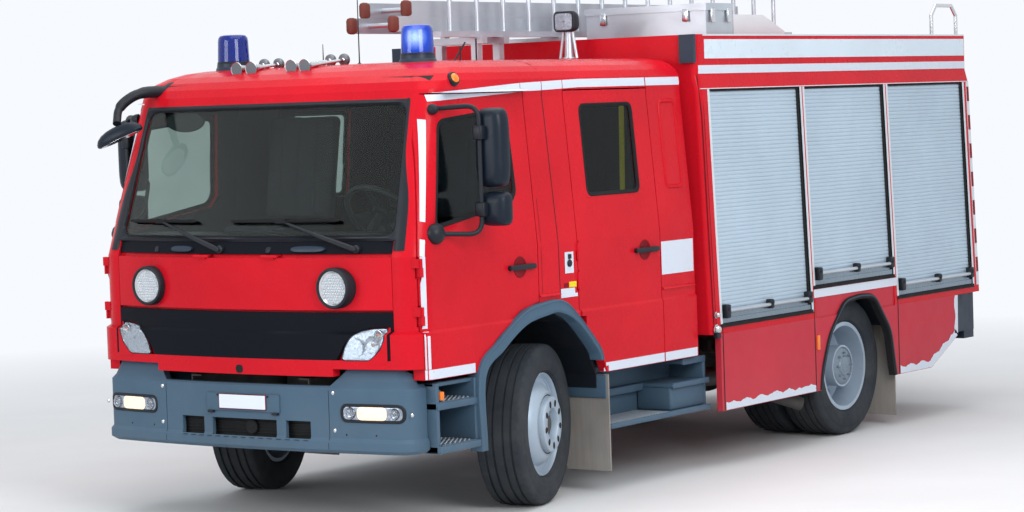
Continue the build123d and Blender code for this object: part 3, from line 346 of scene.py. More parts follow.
FOOT_METAL = finish("foot_metal", (0.22, 0.275, 0.335), 0.26, metal=0.6, vary=0.12, grain=200, relief=0.06)
PANEL_FILM = finish("panel_film", (0.66, 0.76, 0.85), 0.3, vary=0.04, grain=400, relief=0.02)
BROWN_CAP = finish("brown_cap", (0.16, 0.045, 0.035), 0.7, grain=90, relief=0.3)
PLATE_WHITE = finish("plate_white", (0.74, 0.80, 0.88), 0.4, vary=0.03, grain=500, relief=0.05)
FILM = reflective("reflective_film", RED)
CAB_GLASS = clear("cab_glass", (0.78, 0.89, 0.82), ior=1.30)
DARK_GLASS = clear("dark_glass", (0.27, 0.33, 0.32), ior=1.18)
SIDE_GLASS = clear("side_glass", (0.30, 0.36, 0.35), ior=1.20)
LENS = clear("lamp_lens", (0.93, 0.95, 0.97), 0.03)
BLUE_LENS = clear("blue_lens", (0.002, 0.035, 0.42), 0.05, depth=0.6)
LAMP_GLOW = glowing("lamp_glow", (1.0, 0.80, 0.58), 1.1)
# The yellow crew pole glows though it is no lamp: painted light.
POLE_PAINTED_GLOW = glowing("pole_paint", (0.80, 0.68, 0.02), 0.45)
LED_FACE = glowing("led_face", (0.75, 0.80, 0.86), 0.15)


# Mesh building

class Shape:
    """Vertices and faces gathered for one piece."""

    def __init__(self):
        self.verts = []
        self.faces = []

    def add(self, verts, faces):
        base = len(self.verts)
        self.verts.extend(Vector(v) for v in verts)
        self.faces.extend([base + i for i in face] for face in faces)
        return self

    def box(self, low, high):
        corners = [(x, y, z) for z in (low[2], high[2]) for y in (low[1], high[1]) for x in (low[0], high[0])]
        return self.add(corners, ((0, 2, 3, 1), (4, 5, 7, 6), (0, 1, 5, 4), (2, 6, 7, 3), (0, 4, 6, 2),
                                  (1, 3, 7, 5)))

    def loft(self, rings, closed=True, caps=True):
        """Quads between rings of as many points each."""
        count = len(rings[0])
        verts = [v for ring in rings for v in ring]
        faces = []
        for r in range(len(rings) - 1):
            for i in range(count if closed else count - 1):
                j = (i + 1) % count
                faces.append((r * count + i, r * count + j, (r + 1) * count + j, (r + 1) * count + i))
        if caps and closed:
            faces.append(tuple(reversed(range(count))))
            faces.append(tuple(range((len(rings) - 1) * count, len(rings) * count)))
        return self.add(verts, faces)

    def tube(self, points, radius, sides=12):
        """A round tube along points; radius may be one value or one for each point."""
        points = [Vector(p) for p in points]
        radii = radius if isinstance(radius, (list, tuple)) else [radius] * len(points)
        ways = []
        for i, point in enumerate(points):
            before = points[max(i - 1, 0)]
            after = points[min(i + 1, len(points) - 1)]
            ways.append((after - before).normalized())
        side = ways[0].orthogonal().normalized()
        rings = []
        for point, way, r in zip(points, ways, radii):
            side = (side - way * side.dot(way)).normalized()
            other = way.cross(side)
            rings.append([point + (side * math.cos(a) + other * math.sin(a)) * r for a in turns(sides)])
        return self.loft(rings)

    def lathe(self, profile, centre, axis, sides=48, closed=False, caps=True):
        """A profile of (distance along axis, radius) turned about an axis through centre."""
        axis = Vector(axis).normalized()
        side = axis.orthogonal().normalized()
        other = axis.cross(side)
        centre = Vector(centre)
        rings = []
        for along, radius in profile:
            rings.append([centre + axis * along + (side * math.cos(a) + other * math.sin(a)) * max(radius,
                                                                                                   1e-4)
                          for a in turns(sides)])
        if closed:
            return self.loft(rings + [rings[0]], caps=False)
        return self.loft(rings, caps=caps)

    def flipped(self):
        """The mirror image alone, as a new shape."""
        other = Shape()
        return other.add([(-v.x, v.y, v.z) for v in self.verts], [tuple(reversed(f)) for f in self.faces])


def piece(name, shape, body, material, replaces=(), bevel=0.0, smooth=35, thick=0.0):
    """Makes a shape into an object that rides on a body."""
    mesh = bpy.data.meshes.new(name)
    mesh.from_pydata([tuple(v) for v in shape.verts], [], [tuple(f) for f in shape.faces])
    mesh.validate()
    work = bmesh.new()
    work.from_mesh(mesh)
    bmesh.ops.recalc_face_normals(work, faces=work.faces)
    work.to_mesh(mesh)
    work.free()
    mesh.materials.append(material)
    thing = bpy.data.objects.new(name, mesh)
    bpy.context.scene.collection.objects.link(thing)
    mesh.shade_smooth()
    mesh.set_sharp_from_angle(angle=math.radians(smooth))
    if thick:
        solid = thing.modifiers.new("thickness", "SOLIDIFY")
        solid.thickness = thick
        solid.offset = -1
    if bevel:
        round_off = thing.modifiers.new("edges", "BEVEL")
        round_off.width = bevel
        round_off.segments = 2
        round_off.limit_method = "ANGLE"
        round_off.angle_limit = math.radians(30)
        round_off.harden_normals = True
    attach(thing, body)
    if replaces:
        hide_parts(*replaces)
    return thing


# Skins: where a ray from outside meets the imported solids

def skin_of(*names):
    verts = []
    faces = []
    for name in names:
        mesh = NODES[name].data
        base = len(verts)
        verts.extend(v.co.copy() for v in mesh.vertices)
        faces.extend([base + i for i in polygon.vertices] for polygon in mesh.polygons)
    return BVHTree.FromPolygons(verts, faces)


def on_side(skin, station, z, side, lift=SKIN_GAP):
    """The point of a skin seen from a side at a station and height, lifted off it."""
    hit, normal, _, _ = skin.ray_cast(Vector((side * 3, at(station), z)), Vector((-side, 0, 0)))
    if hit is None:
        return Vector((side * 1.16, at(station), z))
    return hit + normal * math.copysign(lift, normal.x * side)


def on_front(skin, x, z, lift=SKIN_GAP):
    """The point of a skin seen from ahead at x and height, lifted off it."""
    hit = skin.ray_cast(Vector((x, at(-4), z)), Vector((0, 1, 0)))[0]
    if hit is None:
        return Vector((x, at(-1.2), z))
    return hit + Vector((0, -lift, 0))


def side_sheet(shape, skin, side, s0, s1, z0, z1, lift=SKIN_GAP, columns=24, rows=3):
    """A sheet laid on a side between two stations and two heights."""
    rings = []
    for r in range(rows + 1):
        z = z0 + (z1 - z0) * r / rows
        line = [on_side(skin, s0 + (s1 - s0) * c / columns, z, side, lift) for c in range(columns + 1)]
        rings.append(line if side > 0 else list(reversed(line)))
    return shape.loft(rings, closed=False)


def side_band(shape, skin, side, path, width, lift=SKIN_GAP):
    """A strip laid on a side along a path of stations and heights, to the left of its way."""
    rings = []
    count = len(path)
    for i, (s, z) in enumerate(path):
        s0, z0 = path[max(i - 1, 0)]
        s1, z1 = path[min(i + 1, count - 1)]
        length = math.hypot(s1 - s0, z1 - z0)
        across = (-(z1 - z0) / length, (s1 - s0) / length)
        rings.append([on_side(skin, s + across[0] * t * width, z + across[1] * t * width, side, lift)
                      for t in (0, 0.5, 1)])
    if side < 0:
        rings = [list(reversed(ring)) for ring in rings]
    return shape.loft(rings, closed=False)


def rounded(outline, radius, steps=5, runs=1):
    """A closed outline with its corners rounded and each side between them cut into runs."""
    corners = []
    count = len(outline)
    for i, corner in enumerate(outline):
        here = Vector(corner)
        before = Vector(outline[i - 1]) - here
        after = Vector(outline[(i + 1) % count]) - here
        cut = min(radius, before.length * 0.45, after.length * 0.45)
        start = here + before.normalized() * cut
        end = here + after.normalized() * cut
        corners.append([(start * (1 - t) + here * t) * (1 - t) + (here * (1 - t) + end * t) * t
                        for t in (k / steps for k in range(steps + 1))])
    points = []
    for i, corner in enumerate(corners):
        points.extend(corner)
        after = corners[(i + 1) % count][0]
        points.extend(corner[-1].lerp(after, k / runs) for k in range(1, runs))
    return [tuple(point) for point in points]


def grown(outline, distance):
    """A closed outline with every side moved outward, or inward for a negative distance."""
    count = len(outline)
    area = sum(outline[i - 1][0] * outline[i][1] - outline[i][0] * outline[i - 1][1] for i in range(count))
    sign = 1 if area > 0 else -1
    lines = []
    for i in range(count):
        start = Vector(outline[i])
        way = (Vector(outline[(i + 1) % count]) - start).normalized()
        lines.append((start + Vector((way.y, -way.x)) * distance * sign, way))
    points = []
    for i in range(count):
        before, before_way = lines[i - 1]
        here, way = lines[i]
        turn = before_way.x * way.y - before_way.y * way.x
        gap = here - before
        t = (gap.x * way.y - gap.y * way.x) / turn
        points.append(tuple(before + before_way * t))
    return points


def outlined(outline, distance, radius, runs=8):
    return rounded(grown(outline, distance), radius, 5, runs)


# Openings whose pane lies below the paint

PANE_INSET = 0.010


def seen(skin, view, a, z):
    """Where a ray meets a skin: from a side (1 or -1) at station a, or from ahead (0) at x = a."""
    if view:
        return skin.ray_cast(Vector((view * 3, at(a), z)), Vector((-view, 0, 0)))[0]
    return skin.ray_cast(Vector((a, at(-4), z)), Vector((0, 1, 0)))[0]


def toward(view):
    return Vector((view, 0, 0)) if view else Vector((0, -1, 0))


def on_opening(pane, shell, view, a, z, lift):
    """A point over an opening or beside it, lifted off the paint's own surface."""
    hit = seen(pane, view, a, z)
    if hit is not None:
        return hit + toward(view) * (lift + PANE_INSET)
    for nudge in (0, 0.004, -0.004, 0.012, -0.012):
        hit = seen(shell, view, a + nudge, z)
        if hit is not None:
            return hit + toward(view) * lift
    return toward(view) * 1.1 + Vector((0, at(a), z))


def opening_ring(shape, pane, shell, view, rows):
    """A band round an opening: rows of outline and lift, all with as many points."""
    rings = [[on_opening(pane, shell, view, a, z, lift) for a, z in outline] for outline, lift in rows]
    return shape.loft(rings + [rings[0]], caps=False)


make_camera()

CAB_SKIN = skin_of("cab_shell", "door_fl", "door_fr", "door_rl", "door_rr", "glass_fl", "glass_fr",
                   "glass_rl", "glass_rr", "windscreen", "front_panel", "front_flap")
DOOR_BODY = {("f", 1): "door_fl", ("f", -1): "door_fr", ("r", 1): "door_rl", ("r", -1): "door_rr"}


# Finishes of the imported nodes

NODE_FINISH = {
    "red_paint": RED_PAINT, "grey_plastic": GREY_PLASTIC, "black_plastic": BLACK_PLASTIC, "tyre": TYRE_RUBBER,
    "wheel_paint": WHEEL_PAINT, "glass": DARK_GLASS, "aluminium": ALUMINIUM, "shutter": SHUTTER_METAL,
    "chassis_paint": CHASSIS_PAINT, "white_paint": WHITE_PAINT, "blue_lens": BLUE_LENS, "lamp_lens": LENS,
    "rubber": RUBBER_AND_SHADE, "fabric": FABRIC, "chrome": CHROME, "cast_metal": CAST_METAL,
}
NODE_EXCEPTIONS = {
    "windscreen": CAB_GLASS, "glass_fl": SIDE_GLASS, "glass_fr": SIDE_GLASS, "mud_flaps": DUSTY_RUBBER,
    "air_horns": HORN_METAL, "rear_bumper": SLATE_PLASTIC, "cab_shell": CAB_PAINT, "roof_caps": SLATE_PLASTIC,
    "body_skirts": SKIRT_PAINT, "front_panel": BAND_BLACK, "door_fl": CAB_PAINT, "door_fr": CAB_PAINT,
    "door_rl": CAB_PAINT, "door_rr": CAB_PAINT,
}


def finish_nodes():
    slots = {part["node"]: part["material_slot"] for part in frame["record"]["subparts"]}
    for name, thing in NODES.items():
        material = NODE_EXCEPTIONS.get(name) or NODE_FINISH[slots[name]]
        if not thing.material_slots:
            thing.data.materials.append(material)
        for slot in thing.material_slots:
            slot.material = material


finish_nodes()


# Tyres

TYRE_RADIUS = AXLE_Z
TYRE_SEGMENTS = 160
# Rows of the section: distance from the tyre's middle and radius
TYRE_SIDE = ((0.105, 0.287), (0.107, 0.299), (0.121, 0.304), (0.133, 0.312), (0.139, 0.330), (0.1405, 0.334),
             (0.1405, 0.340), (0.144, 0.346), (0.145, 0.368), (0.1445, 0.392), (0.141, 0.412),
             (0.1395, 0.414), (0.1395, 0.420), (0.135, 0.440), (0.128, 0.4525), (0.118, 0.4595))
GROOVES = (0.030, 0.078)
GROOVE_HALF = 0.006
GROOVE_DEPTH = 0.012


def tread_rows():
    """The tread from one shoulder to the other, dipping into each groove."""
    rows = []
    for centre in sorted([-g for g in GROOVES] + list(GROOVES), reverse=True):
        rows += [(centre + GROOVE_HALF + 0.002, TYRE_RADIUS),
                 (centre + GROOVE_HALF, TYRE_RADIUS - GROOVE_DEPTH),
                 (centre - GROOVE_HALF, TYRE_RADIUS - GROOVE_DEPTH),
                 (centre - GROOVE_HALF - 0.002, TYRE_RADIUS)]
    return rows


def tyre_shape(shape, centre, axis):
    """A ribbed truck tyre with sipes on its rib edges."""
    axis = Vector(axis).normalized()
    side = Vector((0, 0, 1))
    other = axis.cross(side)
    centre = Vector(centre)
    section = list(TYRE_SIDE) + tread_rows() + [(-x, r) for x, r in reversed(TYRE_SIDE)]
    rings = []
    for along, radius in section:
        ring = []
        for k, angle in enumerate(turns(TYRE_SEGMENTS)):
            drop = 0.0
            if radius >= TYRE_RADIUS - 0.0001 and k % 2:
                drop = 0.0018
            if 0.4595 <= radius < TYRE_RADIUS - 0.0001 and k % 4 == 0:
                drop = 0.006
            r = radius - drop
            ring.append(centre + axis * along + (side * math.cos(angle) + other * math.sin(angle)) * r)
        rings.append(ring)
    return shape.loft(rings + [rings[0]], caps=False)


REST_AXIS = {1: Vector(JOINTS["wheel_fl_spin"]["axis"]), -1: Vector(JOINTS["wheel_fr_spin"]["axis"])}
HALF_TRACK_ARM = 0.13
TWIN_X = (0.995, 0.665)


def front_wheel_centre(side):
    return Vector((side * KINGPIN_X, at(0), AXLE_Z)) + REST_AXIS[side] * side * HALF_TRACK_ARM


def add_tyres():
    for side, end in SIDE_ENDS:
        name = "f" + end
        shape = tyre_shape(Shape(), front_wheel_centre(side), REST_AXIS[side])
        piece("tread_" + name, shape, "wheel_" + name, TYRE_RUBBER, ("tyre_" + name,), smooth=30)
        name = "r" + end
        shape = Shape()
        for x in TWIN_X:
            tyre_shape(shape, (side * x, at(REAR_AXLE), AXLE_Z), (1, 0, 0))
        piece("tread_" + name, shape, "wheel_" + name, TYRE_RUBBER, ("tyre_" + name,), smooth=30)


add_tyres()


# Windscreen surround, cowl and wipers

SCREEN_SKIN = skin_of("windscreen")
SHELL_SKIN = skin_of("cab_shell", "front_panel")
SCREEN = ((-1.010, 1.600), (-0.955, 2.335), (0.955, 2.335), (1.010, 1.600))
CLEAR_SCREEN = ((-0.998, 1.614), (-0.945, 2.322), (0.945, 2.322), (0.998, 1.614))


def pillar_inner(z):
    """Half the distance between the pillar trims at a height."""
    return 1.003 - (z - 1.6) * 0.0748


def add_screen_surround():
    band = Shape()
    rows = ((outlined(SCREEN, 0.014, 0.020, 20), 0.0005), (outlined(SCREEN, 0.006, 0.012, 20), 0.006),
            (outlined(SCREEN, -0.003, 0.045, 20), 0.005), (rounded(CLEAR_SCREEN, 0.070, 5, 20), -0.0085),
            (rounded(CLEAR_SCREEN, 0.070, 5, 20), -0.0098), (outlined(SCREEN, -0.004, 0.004, 20), -0.0095))
    opening_ring(band, SCREEN_SKIN, SHELL_SKIN, 0, rows)
    piece("screen_surround", band, "chassis", BLACK_PLASTIC)
    seal = Shape()
    rows = ((rounded(CLEAR_SCREEN, 0.070, 5, 20), -0.0088),
            (outlined(CLEAR_SCREEN, -0.003, 0.068, 20), -0.0070),
            (outlined(CLEAR_SCREEN, -0.006, 0.065, 20), -0.0088))
    opening_ring(seal, SCREEN_SKIN, SHELL_SKIN, 0, rows)
    piece("screen_seal", seal, "chassis", RUBBER_AND_SHADE)
    trims = Shape()
    levels = [1.535 + 0.815 * k / 24 for k in range(25)]
    reaches = []
    for z in levels:
        inner = pillar_inner(z)
        edge = at(-1.130 + 0.2366 * max(0.0, z - 1.5) - 0.016)
        reach = 0.02
        while reach < 0.068 and on_front(CAB_SKIN, inner + reach + 0.001, z).y < edge:
            reach += 0.001
        reaches.append(reach)
    reaches = [min(reaches[max(k - 3, 0):k + 4]) for k in range(25)]
    reaches = [sum(reaches[max(k - 3, 0):k + 4]) / len(reaches[max(k - 3, 0):k + 4]) for k in range(25)]
    for side in SIDES:
        rings = []
        for z, reach in zip(levels, reaches):
            inner = pillar_inner(z)
            outer = inner + reach
            ring = []
            for j, lift in enumerate((0.0015, 0.006, 0.006, 0.005, 0.0035, 0.0005)):
                ring.append(on_front(CAB_SKIN, side * (inner + (outer - inner) * j / 5), z, lift))
            rings.append(ring)
        trims.loft(rings, closed=False)
    piece("pillar_trims", trims, "chassis", BLACK_PLASTIC)


def front_oval(shape, skin, x, z, half_x, half_z, height, sides=28, crown=0.35):
    """A low rounded pad standing off the front skin."""
    rings = []
    for scale, lift in ((1.0, 0.0), (1.0, height * 0.55), (0.88, height * 0.9), (crown, height)):
        ring = []
        for k in range(sides):
            angle = math.tau * k / sides
            c, s = math.cos(angle), math.sin(angle)
            px = x + math.copysign(abs(c) ** 0.6, c) * half_x * (1 - (1 - scale) * half_z / half_x)
            pz = z + math.copysign(abs(s) ** 0.8, s) * half_z * scale
            ring.append(on_front(skin, px, pz, lift - 0.001))
        rings.append(ring)
    shape.loft(rings)


WIPER_PIVOTS = ((-0.128, -0.927, -0.349), (0.788, -0.092, 0.661))
PIVOT_Z = 1.545
BLADE_Z = 1.700


def add_cowl():
    pads = Shape()
    for x, half in ((-0.430, 0.085), (0.487, 0.110)):
        front_oval(pads, SHELL_SKIN, x, 1.548, half, 0.017, 0.022)
    piece("cowl_vents", pads, "chassis", SLATE_PLASTIC)
    caps = Shape()
    for x in (-0.656, 0.215):
        front_oval(caps, SHELL_SKIN, x, 1.543, 0.017, 0.017, 0.006, 20, 0.8)
    piece("cowl_caps", caps, "chassis", BLACK_PLASTIC)
    arms = Shape()
    blades = Shape()
    for pivot, x0, x1 in WIPER_PIVOTS:
        base = on_front(SHELL_SKIN, pivot, PIVOT_Z, 0)
        arms.lathe(((-0.01, 0.024), (0.016, 0.024), (0.022, 0.020), (0.023, 0.013), (0.034, 0.012),
                    (0.036, 0.006)), base, (0, -1, 0), 24)
        middle = (x0 + x1) / 2
        tip = on_front(SCREEN_SKIN, middle, BLADE_Z, 0.026)
        start = base + Vector((0, -0.028, 0))
        way = tip - start
        side = way.cross(Vector((0, -1, 0))).normalized()
        lift = Vector((0, -1, 0))
        rings = []
        for t, half, thick in ((0, 0.016, 0.008), (0.12, 0.017, 0.011), (0.45, 0.013, 0.012),
                               (0.8, 0.008, 0.009), (1.0, 0.006, 0.006)):
            centre = start + way * t + lift * 0.008 * math.sin(math.pi * t)
            rings.append([centre + side * half + lift * thick * 0.2,
                          centre + side * half * 0.6 + lift * thick,
                          centre - side * half * 0.6 + lift * thick,
                          centre - side * half + lift * thick * 0.2,
                          centre - side * half * 0.7 - lift * 0.004,
                          centre + side * half * 0.7 - lift * 0.004])
        arms.loft(rings)
        steps = 22
        for width, low, high in ((0.003, 0.0, 0.012), (0.009, 0.012, 0.019), (0.004, 0.019, 0.030)):
            rings = []
            for k in range(steps + 1):
                x = x0 + (x1 - x0) * k / steps
                taper = 1 if 0 < k < steps else 0.4
                place = on_front(SCREEN_SKIN, x, BLADE_Z, 0.001)
                rings.append([place + Vector((0, -low, width * taper)),
                              place + Vector((0, -high, width * taper)),
                              place + Vector((0, -high, -width * taper)),
                              place + Vector((0, -low, -width * taper))])
            blades.loft(rings)
        blades.box(tip + Vector((-0.035, -0.012, -0.012)), tip + Vector((0.035, 0.008, 0.012)))
    piece("wiper_arms", arms, "chassis", BLACK_PLASTIC, ("wipers",), bevel=0.001)
    piece("wiper_blades", blades, "chassis", RUBBER_AND_SHADE)


add_screen_surround()
add_cowl()


# Side windows

WINDOWS = {
    "f": ((-1.000, 1.628), (-0.873, 2.235), (-0.222, 2.290), (-0.205, 1.800), (-0.262, 1.738)),
    "r": upright(0.485, 1.063, 1.742, 2.295),
}
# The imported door's own opening, where it differs from the visible one
CAD_WINDOWS = {"f": ((-1.000, 1.628), (-0.862, 2.290), (-0.222, 2.290), (-0.205, 1.800), (-0.262, 1.738))}


def add_side_windows():
    for place, window in WINDOWS.items():
        for side, end in SIDE_ENDS:
            pane = skin_of("glass_" + place + end)
            shell = skin_of("door_" + place + end)
            body = "door_" + place + end
            inner = outlined(window, -0.005, 0.055)
            hole = CAD_WINDOWS.get(place, window)
            fill = Shape()
            rows = ((outlined(hole, 0.0015, 0.001), 0.0003), (inner, 0.0003), (inner, -0.0085),
                    (outlined(hole, -0.001, 0.001), -0.0085))
            opening_ring(fill, pane, shell, side, rows)
            piece("window_lip_" + place + end, fill, body, RED_PAINT)
            band = Shape()
            rows = ((inner, 0.001), (outlined(window, -0.011, 0.050), 0.0045),
                    (outlined(window, -0.024, 0.045), -0.0015), (outlined(window, -0.028, 0.043), -0.0094),
                    (inner, -0.0094))
            opening_ring(band, pane, shell, side, rows)
            piece("window_seal_" + place + end, band, body, RUBBER_AND_SHADE)


add_side_windows()


# Lamps of the front

def add_flap_lamps():
    """Round daylight lamps: a black ring, a pale reflector rim and a face of small lens cells."""
    rings, rims, faces = Shape(), Shape(), Shape()
    low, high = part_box("flap_lamps")
    for side in SIDES:
        centre = Vector((side * (high[0] - 0.112), low[1] + 0.036, (low[2] + high[2]) / 2))
        back = Vector((0, 1, 0))
        rings.lathe(((0.0, 0.094), (-0.003, 0.099), (-0.001, 0.108), (0.006, 0.112), (0.085, 0.112),
                     (0.085, 0.090)), centre, back, 56, closed=True)
        rims.lathe(((0.001, 0.0945), (0.006, 0.0945), (0.016, 0.084), (0.020, 0.084), (0.020, 0.096),
                    (0.002, 0.096)), centre, back, 56, closed=True)
        faces.lathe(((0.018, 0.086), (0.015, 0.084), (0.014, 0.001)), centre, back, 40)
        pitch = 0.0172
        rows = int(0.08 / (pitch * 0.866)) + 1
        for row in range(-rows, rows + 1):
            z = row * pitch * 0.866
            shift = pitch / 2 if row % 2 else 0.0
            for column in range(-6, 7):
                x = column * pitch + shift
                if math.hypot(x, z) > 0.077:
                    continue
                faces.lathe(((0.0148, 0.0078), (0.0095, 0.0066), (0.0065, 0.0036), (0.0058, 0.0008)),
                            centre + Vector((x, 0, z)), back, 8)
    piece("flap_lamp_rings", rings, "front_flap", BLACK_PLASTIC, ("flap_lamps",))
    piece("flap_lamp_rims", rims, "front_flap", CHROME)
    piece("flap_lamp_faces", faces, "front_flap", LED_FACE, smooth=50)


HEADLAMP = ((0.6985, 0.946), (0.722, 1.016), (0.758, 1.070), (0.812, 1.103), (0.886, 1.116), (0.970, 1.119),
            (0.968, 1.064), (0.940, 1.005), (0.887, 0.955), (0.865, 0.946))
LAMP_SKIN = skin_of("lamps", "front_panel", "cab_shell")


def scaled(outline, share, centre):
    return [(centre[0] + (x - centre[0]) * share, centre[1] + (z - centre[1]) * share) for x, z in outline]


def front_shell(shape, side, outline, centre, rows, closed=False):
    """Rings of one outline shrunk toward a centre, each at its own lift off the front skin."""
    rings = []
    for share, lift in rows:
        rings.append([on_front(LAMP_SKIN, side * x, z, lift) for x, z in scaled(outline, share, centre)])
    if closed:
        return shape.loft(rings + [rings[0]], caps=False)
    return shape.loft(rings, caps=True)


def add_headlamps():
    bowls, trims, covers, bulbs = Shape(), Shape(), Shape(), Shape()
    centre = (0.840, 1.035)
    outline = rounded(HEADLAMP, 0.02, 3, 3)
    for side in SIDES:
        front_shell(bowls, side, outline, centre, ((0.995, -0.001), (0.96, -0.014), (0.90, -0.021),
                                                   (0.5, -0.022), (0.1, -0.022)))
        for x, z, radius, depth in ((0.790, 1.015, 0.050, 0.019), (0.890, 1.030, 0.046, 0.019),
                                    (0.925, 1.082, 0.028, 0.012)):
            place = on_front(LAMP_SKIN, side * x, z, -0.0195)
            bowls.lathe(((0.0, radius * 0.35), (0.004, radius * 0.6), (0.010, radius * 0.86),
                         (depth - 0.003, radius), (depth - 0.001, radius * 1.03),
                         (depth - 0.003, radius * 1.06), (0.0, radius * 1.06)), place, (0, -1, 0), 28,
                        closed=True)
            bulbs.lathe(((0.0, 0.010), (0.010, 0.010), (0.014, 0.007), (0.015, 0.001)), place, (0, -1, 0), 16)
        front_shell(covers, side, outline, centre, ((0.985, 0.0), (0.965, 0.0035), (0.8, 0.0055),
                                                    (0.45, 0.0065), (0.05, 0.0068), (0.05, 0.0045),
                                                    (0.45, 0.0042), (0.8, 0.003), (0.965, 0.0008)),
                    closed=True)
        front_shell(trims, side, outline, centre, ((1.03, 0.001), (1.0, 0.0035), (0.975, 0.0015),
                                                   (0.985, -0.004)), closed=True)
    corners = Shape()
    edge = ((0.8650, 0.9440), (0.8890, 0.9530), (0.9430, 1.0030), (0.9715, 1.0640), (0.9735, 1.1220))
    for side in SIDES:
        rings = []
        for share in (0.0, 0.25, 0.5, 0.75, 1.0):
            ring = []
            for k in range(33):
                t = k / 32 * (len(edge) - 1)
                span = min(int(t), 3)
                (x0, z0), (x1, z1) = edge[span], edge[span + 1]
                x, z = x0 + (x1 - x0) * (t - span), z0 + (z1 - z0) * (t - span)
                far = (max(x, 0.985), z) if k else (0.985, 0.930)
                ring.append(on_front(LAMP_SKIN, side * (x + (far[0] - x) * share), z + (far[1] - z) * share,
                                     0.0022))
            rings.append(ring)
        corners.loft(rings, closed=False)
        low = []
        for share in (0.0, 1.0):
            low.append([on_front(LAMP_SKIN, side * (0.860 + 0.125 * k / 12), 0.930 + 0.014 * share, 0.0021)
                        for k in range(13)])
        corners.loft(low, closed=False)
    piece("headlamp_corners", corners, "chassis", RED_PAINT)
    piece("headlamp_bowls", bowls, "chassis", REFLECTOR, ("lamps",), smooth=40)
    piece("headlamp_bulbs", bulbs, "chassis", AMBER_BULB)
    piece("headlamp_covers", covers, "chassis", RIBBED_LENS)
    piece("headlamp_trims", trims, "chassis", BLACK_PLASTIC)


# Rows of the bumper's height and how far its face lies back there
BUMPER_ROWS = ((0.435, 0.025), (0.455, 0.0), (0.500, 0.0), (0.520, 0.012), (0.790, 0.012), (0.812, 0.030),
               (0.890, 0.060))
BUMPER_LEVELS = (0.435, 0.445, 0.455, 0.478, 0.500, 0.510, 0.520, 0.5625, 0.605, 0.660, 0.720, 0.790)
BUMPER_COLUMNS = (0.0, 0.06, 0.12, 0.18, 0.235, 0.2675, 0.300, 0.36, 0.42, 0.470, 0.535, 0.600, 0.645, 0.690,
                  0.76, 0.83, 0.90, 0.95, 0.995)
BUMPER_HALF = 1.120
BUMPER_TURN = (1.030, -1.235)
BUMPER_FACE = -1.303
BUMPER_REAR = -1.060
GRILLE = ((-0.470, -0.300), (-0.235, 0.235), (0.300, 0.470))


def bumper_back(z):
    """How far the bumper's face lies back at a height."""
    for (z0, back0), (z1, back1) in zip(BUMPER_ROWS, BUMPER_ROWS[1:]):
        if z <= z1:
            return back0 + (back1 - back0) * max(0.0, z - z0) / (z1 - z0)
    return BUMPER_ROWS[-1][1]


def bumper_plan(inset):
    """Half of the bumper's plan, from its middle round the corner to its rear end."""
    end_x, turn_x = BUMPER_HALF - inset, BUMPER_TURN[0] - 0.6 * inset
    turn_s, face = BUMPER_TURN[1] + inset, BUMPER_FACE + inset
    bow = turn_s - face
    radius = (turn_x ** 2 + bow ** 2) / (2 * bow)
    points = [(x, face + radius - math.sqrt(radius ** 2 - x ** 2)) for x in BUMPER_COLUMNS]
    side_s = min(turn_s + 0.095, BUMPER_REAR - 0.02)
    start, bend, end = Vector((turn_x, turn_s)), Vector((end_x - 0.002, turn_s + 0.010)), Vector((end_x,
                                                                                                  side_s))
    for k in range(10):
        t = k / 9
        points.append(tuple((start * (1 - t) + bend * t) * (1 - t) + (bend * (1 - t) + end * t) * t))
    points.extend((end_x, side_s + (BUMPER_REAR - side_s) * t) for t in (0.33, 0.66, 1.0))
    return points


def bumper_tops():
    """The height of the bumper's upper edge at each point of its plan."""
    tops = []
    for i, (x, _) in enumerate(bumper_plan(0)):
        if i >= len(BUMPER_COLUMNS) + 9:
            tops.append(0.812)
        elif x <= 0.600:
            tops.append(0.802)
        elif x <= 0.690:
            tops.append(0.802 + 0.088 * (x - 0.600) / 0.090)
        else:
            tops.append(0.890 - 0.78 * max(0.0, x - 1.090))
    return tops


def bumper_shape():
    """The bumper's outer skin as a grid, with its lower grille left open."""
    tops = bumper_tops()
    count = len(tops)
    plans = {}
    columns = []
    for i in list(range(count - 1, 0, -1)) + list(range(count)):
        sign = -1 if len(columns) < count - 1 else 1
        levels = list(BUMPER_LEVELS) + [0.790 + (tops[i] - 0.790) * t for t in (0.25, 0.5, 0.75, 1.0)]
        column = []
        for z in levels:
            key = round(bumper_back(z), 5)
            plan = plans.setdefault(key, bumper_plan(key))
            column.append((sign * plan[i][0], at(plan[i][1]), z))
        plan = bumper_plan(bumper_back(tops[i]) + 0.045)
        column.append((sign * plan[i][0], at(plan[i][1]), tops[i] - 0.001))
        columns.append(column)
    rows = len(columns[0])
    faces = []
    for c in range(len(columns) - 1):
        middle = (columns[c][5][0] + columns[c + 1][5][0]) / 2
        for r in range(rows - 1):
            if 5 <= r < 8 and any(x0 < middle < x1 for x0, x1 in GRILLE):
                continue
            faces.append((c * rows + r, (c + 1) * rows + r, (c + 1) * rows + r + 1, c * rows + r + 1))
    return Shape().add([v for column in columns for v in column], faces)


BUMPER = bumper_shape()
piece("bumper_skin", BUMPER, "chassis", GREY_PLASTIC, ("bumper", "fog_lamps"), bevel=0.003,
      smooth=40, thick=0.026)
BUMPER_SKIN = BVHTree.FromPolygons(BUMPER.verts, BUMPER.faces)


def fog_outline(scale_x=1.0, scale_z=1.0):
    outline = upright(0.683, 1.066, 0.618, 0.698)
    centre = (0.8745, 0.658)
    return [(centre[0] + (x - centre[0]) * scale_x, centre[1] + (z - centre[1]) * scale_z) for x,
            z in outline]


